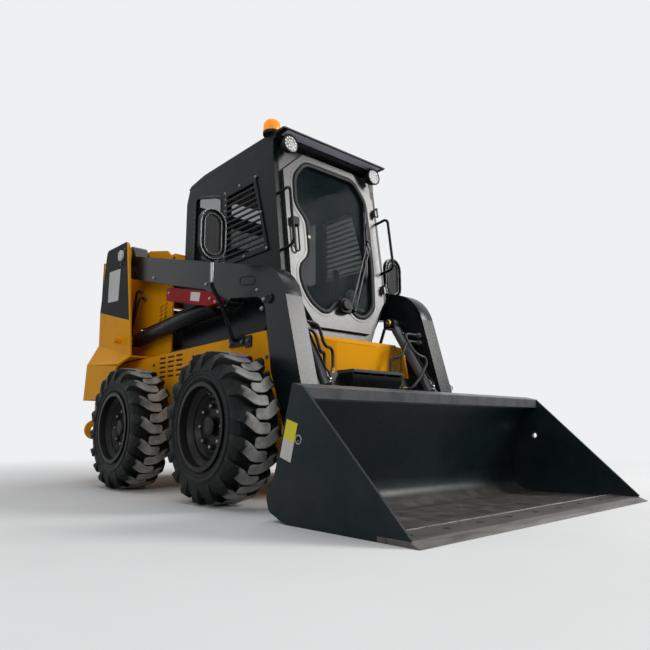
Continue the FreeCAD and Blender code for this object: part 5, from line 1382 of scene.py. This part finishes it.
def gland_ring(barrel, rod):
    lip = barrel + 0.0035
    return [
        (barrel, -0.052), (lip, -0.050), (lip, -0.004), (barrel + 0.001, 0.0), (barrel - 0.004, 0.002),
        (rod + 0.004, 0.002), (rod + 0.003, 0.005), (rod + 0.0006, 0.005), (rod + 0.0006, -0.002),
    ]


def hard_pipe(form, first, last, along, up):
    """A pipe between two ports: an elbow at each end and a run closer to the barrel."""
    rise, dip = up * 0.004, up * -0.006
    line = [last, last - along * 0.03 + rise, last - along * 0.06 + dip]
    line += [first + along * 0.06 + dip, first + along * 0.03 + rise, first]
    bar(form, soft_line(line, 0.02, 4), circle_of(PIPE, 10))


for name, x, base, eye, radius, rod, gland, stand in CYLINDERS:
    port = [(0.0125, 0), (0.0125, stand * 0.43), (0.010, stand * 0.55), (0.010, stand * 0.6)]
    low, high, crown = stand * 0.54, stand * 1.03, stand * 1.13
    nut = [(0.0, low), (0.0105, low), (0.0105, high), (0.0085, crown), (0.0, crown)]
    for hand, side in SIDES:
        foot, end = side_line(side * x, (base, eye))
        along = (end - foot).normalized()
        up = Vector((1, 0, 0)).cross(along)
        up = up if up.z > 0 else -up
        form, bright = drawings(2)
        turned(form, gland_ring(radius, rod), foot + along * gland, along, 40)
        ports = [foot + along * station for station in (FIRST_PORT, gland - PORT_FROM_GLAND)]
        for spot in ports:
            turned(form, port, spot + up * (radius - 0.002), up, 16)
            turned(bright, nut, spot + up * (radius - 0.002), up, 6)
        first, last = [spot + up * (radius + stand) for spot in ports]
        hard_pipe(form, first, last, along, up)
        body = f"{name}_barrel_{hand}"
        piece(f"{name}_gland_{hand}", form, "black_paint", body, angle=40)
        piece(f"{name}_port_nuts_{hand}", bright, "zinc", body)

# %% [markdown]
# ## Towers
# The outer face of each tower carries a plain pale plate and a round cap over the arm's pivot. Plates
# like these are riveted on and left blank here. Below them the lift cylinder's pin shows its painted
# end.

# %% Tower plates, caps and pin ends
TOWER_FACE, PIN_FACE = 0.6622, 0.700
PIVOT_Y, PIVOT_Z = 1.100, 1.700
TOWER_PLATE = ((1.321, 1.613), (1.106, 1.599), (1.117, 1.348), (1.321, 1.364))
PIVOT_CAP = ((0.043, 0.0), (0.043, 0.0115), (0.040, 0.0150), (0.030, 0.0158), (0.0, 0.0158))
PIN_END = ((0.0255, 0.0), (0.0255, 0.010), (0.022, 0.014), (0.006, 0.014), (0.005, 0.010), (0.0, 0.010))

plates, caps, heads, pins = drawings(4)
for side in BOTH:
    out = Vector((side, 0, 0))
    plate(plates, rounded(side_line(side * TOWER_FACE, TOWER_PLATE), 0.012, 4), out * 0.0016)
    turned(caps, PIVOT_CAP, at(side * TOWER_FACE, PIVOT_Y, PIVOT_Z), out, 44)
    for k in range(3):
        turn = 2.1 * k + 0.5
        y, z = PIVOT_Y + 0.075 * math.cos(turn), PIVOT_Z + 0.070 * math.sin(turn)
        bolt(heads, at(side * TOWER_FACE, y, z), out, 0.014)
    turned(pins, PIN_END, at(side * PIN_FACE, 1.030, 1.030), out, 28)
piece("tower_blank_plates", plates, "blank_plate", "chassis", edge=0.0004)
piece("tower_pivot_caps", caps, "blank_plate", "chassis", edge=0.0008)
piece("tower_bolts", heads, "bright_black", "chassis")
piece("lift_pin_ends", pins, "amber_paint", "chassis", edge=0.0008)

# %% [markdown]
# ## Chassis sides
# The chassis side shows the foot plate of the mirror's stem with its bolts, a rubber stop for the arm
# and the fins behind the louvres. The fins lean, so that water runs out.

# %% Fasteners, stops and louvre fins
CASE_SIDE = 0.5602
STEM_PLATE = ((-0.545, 0.822), (-0.545, 0.888), (-0.482, 0.8885), (-0.482, 0.822))
SIDE_BOLTS = (
    # x, y, z, across the flats
    (0.5702, -0.515, 0.856, 0.015), (0.5722, -0.460, 0.856, 0.015), (0.5722, -0.345, 0.856, 0.015),
    (CASE_SIDE, -0.684, 0.752, 0.016), (CASE_SIDE, -0.695, 0.660, 0.024), (CASE_SIDE, 0.66, 0.70, 0.016),
    (CASE_SIDE, 0.66, 0.82, 0.016), (CASE_SIDE, 0.11, 0.83, 0.014),
)
STOP = ((0.0, 0.0), (0.034, 0.0), (0.034, 0.012), (0.027, 0.020), (0.024, 0.034), (0.0, 0.036))
COLUMNS, FIN_ROWS = 3, 5

heads, rubber, fins, feet = drawings(4)
for side in BOTH:
    out = Vector((side, 0, 0))
    plate(feet, rounded(side_line(side * CASE_SIDE, STEM_PLATE), 0.012, 4), out * 0.010)
    for x, y, z, across in SIDE_BOLTS:
        bolt(heads, at(side * x, y, z), out, across)
    turned(rubber, STOP, at(side * CASE_SIDE, -0.629, 0.718), out, 28)
    for column in range(COLUMNS):
        for row in range(FIN_ROWS):
            y, z = 0.257 + 0.118 * column, 0.7225 + 0.032 * row
            foot, crest = side * 0.5475, side * 0.5600
            fin = [at(foot, y, z), at(foot, y + 0.084, z)]
            fin += [at(crest, y + 0.084, z + 0.006), at(crest, y, z + 0.006)]
            plate(fins, fin, (0, 0, 0.0016))
piece("side_bolts", heads, "bright_black", "chassis")
piece("side_stops", rubber, "seal_rubber", "chassis")
piece("louvre_fins", fins, "dark_gap", "chassis")
piece("mirror_foot_plates", feet, "black_paint", "chassis", edge=0.001)

# %% [markdown]
# ## Tailgate
# Behind the slots of the tailgate hangs a woven screen that keeps chaff off the radiator. It is drawn
# wire by wire, since its holes must show daylight. A turn latch sits beside it.

# %% Tailgate screen and latch
SCREEN_Y, WIRE = 1.505 - 0.004 - 0.060 + 0.012, 0.0011
UPRIGHTS, CROSS_WIRES = 45, 26
REARWARD = (0, 1, 0)
LATCH_X, LATCH_Y = -0.385, 1.5052
LATCH_CUP = ((0.0, 0.0), (0.034, 0.0), (0.034, 0.004), (0.030, 0.0047), (0.0, 0.0047))
LATCH_LEVER = ((-0.012, 0.945), (0.012, 0.945), (0.008, 0.850), (-0.008, 0.850))

form = bmesh.new()
for k in range(UPRIGHTS):
    x = -0.352 + 0.704 * k / (UPRIGHTS - 1)
    bar(form, [at(x, SCREEN_Y, 1.035), at(x, SCREEN_Y, 1.440)], circle_of(WIRE, 4), REARWARD)
for k in range(CROSS_WIRES):
    z = 1.036 + 0.403 * k / (CROSS_WIRES - 1)
    wire = [at(x, SCREEN_Y + 0.0012, z) for x in (-0.353, 0.353)]
    bar(form, wire, circle_of(WIRE, 4), REARWARD)
piece("tailgate_screen", form, "bright_black", "tailgate")
form = bmesh.new()
turned(form, LATCH_CUP, at(LATCH_X, LATCH_Y - 0.004, 0.930), REARWARD, 32)
lever = [at(LATCH_X + x, LATCH_Y, z) for x, z in LATCH_LEVER]
plate(form, rounded(lever, 0.006, 3), (0, 0.0085, 0))
piece("tailgate_latch", form, "moulded_black", "tailgate", edge=0.0008)

# %% [markdown]
# ## Rear lamps
# Each lamp has two red lenses with upright ribs in a moulded frame. The ribs are narrow plates side by
# side, with a gap that catches a line of shade.

# %% Rear lamps
LAMP_MIDDLE, REAR_FACE, LAMP_HALF = 0.594, 1.4932, 0.046
LENS_RIBS, RIB_PITCH, RIB_WIDE = 9, 0.0085, 0.0075
LAMP_RIM_SECTION = ((-0.001, -0.001), (-0.001, 0.005), (0.005, 0.005), (0.005, -0.001))


def upright(x_low, x_high, z_low, z_high):
    """The corners of an upright plate on the machine's rear face."""
    corners = ((x_low, z_low), (x_high, z_low), (x_high, z_high), (x_low, z_high))
    return [at(x, REAR_FACE, z) for x, z in corners]


lens, frames = drawings(2)
for side in BOTH:
    middle = side * LAMP_MIDDLE
    for z_low, z_high in ((0.995, 1.045), (1.052, 1.104)):
        for k in range(LENS_RIBS):
            x = middle - 0.038 + RIB_PITCH * k
            plate(lens, upright(x, x + RIB_WIDE, z_low, z_high), (0, 0.0035, 0))
    rim = upright(middle - LAMP_HALF, middle + LAMP_HALF, 0.990, 1.110)
    bar(frames, rim, LAMP_RIM_SECTION, REARWARD, closed=True)
piece("rear_lamp_lenses", lens, "red_lens", "chassis", edge=0.0005)
piece("rear_lamp_frames", frames, "moulded_black", "chassis")

# %% [markdown]
# ## Engine cover
# An exhaust stub and a filler cap stand on the cover, which slopes a little, so both lean with it. The
# cap has upright grips round its rim, copied by angle.

# %% Exhaust stub and filler cap
COVER_UP = (0, -0.05, 1)
STUB = (
    (0.0, -0.006), (0.060, -0.006), (0.060, 0.003), (0.036, 0.006), (0.036, 0.070), (0.033, 0.072),
    (0.031, 0.070), (0.031, 0.02), (0.0, 0.02),
)
CAP = ((0.0, -0.006), (0.044, -0.006), (0.044, 0.006), (0.041, 0.022), (0.036, 0.026), (0.0, 0.026))
CAP_MIDDLE, GRIPS = at(-0.24, 0.76, 1.648), 16

form = bmesh.new()
turned(form, STUB, at(0.20, 1.08, 1.662), COVER_UP, 32)
piece("exhaust_stub", form, "bare_steel", "chassis")
form = bmesh.new()
turned(form, CAP, CAP_MIDDLE, COVER_UP, 24)
for k in range(GRIPS):
    turn = 2 * math.pi * k / GRIPS
    spot = CAP_MIDDLE + Vector((0.0435 * math.cos(turn), 0.0435 * math.sin(turn), 0.001))
    turned(form, [(0.0035, 0), (0.0035, 0.018), (0, 0.020)], spot, COVER_UP, 6)
piece("filler_cap", form, "moulded_black", "chassis", angle=40)

# %% [markdown]
# ## Bucket
# The bucket is new paint outside and scraped steel inside, where a few loads have slid out. The cutting
# edge is welded along the floor's lip, and that bright rippled line is what shows from in front. The
# floor is rolled into the back in one bend, drawn as a thin sheet over an arc, and painted beads run up
# the side plates. Countersunk bolts hold the wear strip.

# %% Bend, weld lines, hole rims and bolts
BUCKET_HALF, HOLE_Y, HOLE_Z = 0.910, -1.385, 0.330
FLOOR_HALF, BEND_RADIUS, BEND_Y, BEND_Z = 0.8978, 0.11, -1.338, 0.1212
BEND_TURN, BEND_STEPS = 106.6, 14
SIDE_BEAD = (
    (-1.775, 0.0118), (-1.306, 0.0115), (-1.232, 0.036), (-1.192, 0.062), (-1.190, 0.104),
    (-1.238, 0.260), (-1.352, 0.480),
)
HOLE_RIM = ((0.0142, 0.0002), (0.0205, 0.0002), (0.0195, 0.0032), (0.0155, 0.0038), (0.0142, 0.0030))
SUNK_BOLT = ((0.0145, 0.0002), (0.0145, 0.0010), (0.0115, 0.0014), (0.0075, 0.0006), (0.0, 0.0006))
EDGE_BOLTS = 9

sheet, welds, painted, rims, holes = drawings(5)
bend = [(-1.372, 0.0112)]
for k in range(BEND_STEPS + 1):
    turn = math.radians(-90 + BEND_TURN * k / BEND_STEPS)
    bend.append((BEND_Y + BEND_RADIUS * math.cos(turn), BEND_Z + BEND_RADIUS * math.sin(turn)))
bend.append((-1.2535, 0.222))
under = [(y + 0.0006, z - 0.0007) for y, z in reversed(bend)]
plate(sheet, side_line(-FLOOR_HALF, bend + under), (2 * FLOOR_HALF, 0, 0))
bead(welds, [at(x, -1.7985, 0.0208) for x in (-0.897, 0.897)], 0.0048, 0.0075, UPWARDS)
for side in BOTH:
    bead(painted, side_line(side * 0.8975, SIDE_BEAD), 0.0032, 0.007, (side, 0, 0))
    for x, way in ((BUCKET_HALF, side), (BUCKET_HALF - 0.012, -side)):
        turned(rims, HOLE_RIM, at(side * x, HOLE_Y, HOLE_Z), (way, 0, 0), 30)
for k in range(EDGE_BOLTS):
    x = -0.82 + 1.64 * k / (EDGE_BOLTS - 1)
    turned(holes, SUNK_BOLT, at(x, -1.862, 0.0201), UPWARDS, 20)
piece("bucket_bend", sheet, "bucket_steel", "bucket", angle=50)
piece("edge_weld", welds, "weld_bright", "bucket", angle=70)
piece("bucket_welds", painted, "bucket_paint", "bucket", angle=70)
piece("bucket_hole_rims", rims, "zinc", "bucket")
piece("edge_bolts", holes, "dark_gap", "bucket")

# %% [markdown]
# The plate on each side of the bucket stays blank in its two colours. It leans with the side plate's
# rear edge, so its corners come from one leaning line and one step across it.

# %% Plates on the bucket's sides
PLATE_LINE = ((-1.310, 0.412), (-1.288, 0.337), (-1.265, 0.260))
ACROSS_Y, ACROSS_Z = -0.069, -0.020

for name, paint, top, foot in (
    ("bucket_plate_upper", "plate_yellow", PLATE_LINE[0], PLATE_LINE[1]),
    ("bucket_plate_lower", "blank_plate", PLATE_LINE[1], PLATE_LINE[2]),
):
    outline = [top] + [(y + ACROSS_Y, z + ACROSS_Z) for y, z in (top, foot)] + [foot]
    form = bmesh.new()
    for side in BOTH:
        plate(form, side_line(side * (BUCKET_HALF + 0.0002), outline), (side * 0.0008, 0, 0))
    piece(name, form, paint, "bucket")

# %% [markdown]
# ## Step
# The step between the arms has a tread of punched, raised rings in rows that are shifted by half a
# pitch, so that boots grip. A folded sheet closes its nose; it is painted black, darker than the step,
# as painted shade below the lip. A thin bead runs along the edge.

# %% Step tread and nose
TREAD_ROWS, TREAD_COLUMNS, TREAD_PITCH, TREAD_HALF = 5, 14, 0.028, 0.185
RAISED_RING = ((0.0085, 0.0), (0.0070, 0.0022), (0.0052, 0.0026), (0.0042, 0.0012), (0.0, 0.0012))
NOSE = (
    (-0.9652, 0.6615), (-0.9652, 0.6377), (-0.9250, 0.5605), (-0.9220, 0.5610), (-0.9618, 0.6383),
    (-0.9618, 0.6615),
)
NOSE_HALF = 0.196

form, nose = drawings(2)
for row in range(TREAD_ROWS):
    for k in range(TREAD_COLUMNS):
        x = -0.182 + TREAD_PITCH * (k + (0.5 if row % 2 else 0.0))
        if x <= TREAD_HALF:
            turned(form, RAISED_RING, at(x, -0.955 + 0.024 * row, 0.6899), UPWARDS, 12)
lip = [(-0.008, 0.0), (-0.006, 0.003), (0.006, 0.003), (0.008, 0.0)]
bar(form, [at(x, -0.974, 0.681) for x in (-0.200, 0.200)], lip, FORWARD)
plate(nose, side_line(-NOSE_HALF, NOSE), (2 * NOSE_HALF, 0, 0))
piece("step_tread", form, "bright_black", "lift_arms", angle=40)
# the nose sheet is black as painted shade below the step's lip
piece("step_nose", nose, "black_paint", "lift_arms")

# %% [markdown]
# ## Ends of the front panel
# The amber panel below the door is bent back at both ends. A small sheet closes the wedge that is left
# open above the bend. Its outline is given by shares of the way from the fold to the rear corner.

# %% Sheets at the panel's ends
FOLD, REAR_CORNER = Vector((0.16, -0.8000)), Vector((0.48, -0.7103))
PANEL_TOP, CASE_TOP = 0.8908, 0.8560
past = (-0.7250 - FOLD.y) / (REAR_CORNER.y - FOLD.y)
SHEET = ((0.0, CASE_TOP), (1.0, CASE_TOP), (1.0, PANEL_TOP), (past, PANEL_TOP), (0.0, CASE_TOP + 0.0025))

form = bmesh.new()
for side in BOTH:
    outline = []
    for share, z in SHEET:
        x, y = FOLD.lerp(REAR_CORNER, share)
        outline.append(at(side * x, y + 0.0006, z))
    plate(form, outline, (-side * 0.002, 0.002, 0))
piece("panel_end_sheets", form, "amber_paint", "chassis")

# %% [markdown]
# ## Strut plate and control grips
# The red strut is stowed on the arm and carries one pale blank plate and its bolts. Inside the cab the
# two levers end in moulded grips with a thumb button. Their rings are one turned profile that swells
# and narrows.

# %% Strut plate, bolts and grips
STRUT_FACE = -0.6342
STRUT_PLATE = ((0.040, 1.171), (0.033, 1.225), (-0.085, 1.200), (-0.070, 1.146))
GRIP_RINGS = [(0.0222 if k % 2 == 0 else 0.0228, 0.015 * k - 0.095) for k in range(6)]
GRIP = GRIP_RINGS + [(0.0222, 0.0), (0.017, 0.008), (0.009, 0.009), (0.009, 0.012), (0.0, 0.013)]

form = bmesh.new()
plate(form, rounded(side_line(STRUT_FACE, STRUT_PLATE), 0.004, 3), (-0.0008, 0, 0))
piece("strut_blank_plate", form, "blank_plate", "lift_arms")
form = bmesh.new()
for spot in side_line(STRUT_FACE, ((-0.262, 1.112), (0.330, 1.270), (-0.200, 1.142))):
    bolt(form, spot, RIGHTWARDS, 0.014)
piece("strut_bolts", form, "zinc", "lift_arms")
form = bmesh.new()
for side in BOTH:
    way = Vector((-side * 0.1, -0.2, 1)).normalized()
    turned(form, GRIP, at(side * 0.240, -0.352, 1.322) + way * 0.110, way, 24)
piece("lever_grips", form, "moulded_black", "chassis", angle=60)

# %% [markdown]
# ## Floor
# A pale floor runs far back so that the horizon is soft. Close to the machine it is a plain, slightly
# cloudy concrete that takes the shadow. Farther out the camera sees it fade to the backdrop's white,
# while lamps and reflections still meet the same floor.

# %% Floor
PALE = (0.86, 0.87, 0.88)
FLOOR_HALF_SIZE, FADE_FROM, FADE_TO = 40.0, 1.7, 5.2
CONCRETE, CONCRETE_PALE = (0.60, 0.605, 0.61), (0.66, 0.665, 0.67)


def blended(tree, factor, first, second, output):
    """Show the first shader where the factor is 0 and the second where it is 1."""
    blend = tree.nodes.new("ShaderNodeMixShader")
    for socket, value in zip(blend.inputs, (factor, first.outputs[0], second.outputs[0])):
        feed(tree, socket, value)
    feed(tree, tree.nodes[output].inputs["Surface"], blend.outputs[0])


material = bpy.data.materials.new("pale_floor")
material.use_nodes = True
tree = material.node_tree
shader = tree.nodes["Principled BSDF"]
place = place_in(tree)
cloud = ranged(tree, noise(tree, place, 0.8, 6.0), 0.3, 0.7)
feed(tree, shader.inputs["Base Color"], mixed(tree, cloud, CONCRETE, CONCRETE_PALE))
feed(tree, shader.inputs["Roughness"], 0.8)
seen = tree.nodes.new("ShaderNodeLightPath").outputs["Is Camera Ray"]
fade = product(tree, ranged(tree, distance(tree, place), FADE_FROM, FADE_TO), seen)
blended(tree, fade, shader, fed(tree, "Emission", {"Color": PALE}), "Material Output")

mesh = bpy.data.meshes.new("pale_floor")
size = FLOOR_HALF_SIZE
corners = [(-size, -size, 0), (size, -size, 0), (size, size, 0), (-size, size, 0)]
mesh.from_pydata(corners, [], [(0, 1, 2, 3)])
mesh.materials.append(material)
floor = bpy.data.objects.new("pale_floor", mesh)
bpy.context.scene.collection.objects.link(floor)
print("floor:", 2 * size, "m wide")

# %% [markdown]
# ## Light
# Most of the light comes from a wide lamp on the machine's left front. Seen from the camera it mirrors
# in every surface that faces forward, as daylight through a big door would. Two weaker lamps fill the
# near corner and the roof. The world gives a plain grey light, but is pale to the camera, to glossy
# surfaces and through glass.

# %% Lamps and world
LAMPS = (
    # name, place, target, width and height, power, tint
    ("door_daylight", (4.7, -5.0, 4.6), (0, -0.5, 1.0), (2.7, 2.6), 470, (1.0, 0.98, 0.95)),
    ("corner_fill", (-6.0, -4.0, 3.4), (0, 0, 0.9), (4.0, 3.0), 110, (1, 1, 1)),
    ("roof_light", (0.0, 1.0, 6.0), (0, 0, 0), (6.0, 6.0), 200, (1, 1, 1)),
)
WORLD_LIGHT, WORLD_STRENGTH = (0.80, 0.83, 0.86), 0.32

for name, place, target, size, power, tint in LAMPS:
    data = bpy.data.lights.new(name, "AREA")
    data.shape = "RECTANGLE"
    data.size, data.size_y = size
    data.energy, data.color = power, tint
    lamp = bpy.data.objects.new(name, data)
    bpy.context.scene.collection.objects.link(lamp)
    lamp.location = place
    lamp.rotation_euler = (Vector(target) - Vector(place)).to_track_quat("-Z", "Y").to_euler()

world = bpy.data.worlds.new("studio")
bpy.context.scene.world = world
world.use_nodes = True
sky = world.node_tree
background = sky.nodes["Background"]
feed(sky, background.inputs["Color"], WORLD_LIGHT)
feed(sky, background.inputs["Strength"], WORLD_STRENGTH)
white = fed(sky, "Background", {"Color": PALE, "Strength": 1.0})
rays = sky.nodes.new("ShaderNodeLightPath").outputs
mirrored = calculated(sky, "MAXIMUM", rays["Is Glossy Ray"], rays["Is Transmission Ray"])
seen = calculated(sky, "MAXIMUM", rays["Is Camera Ray"], mirrored)
blended(sky, seen, background, white, "World Output")

bpy.context.scene.view_settings.view_transform = "Standard"
print("lamps:", len(bpy.data.lights))
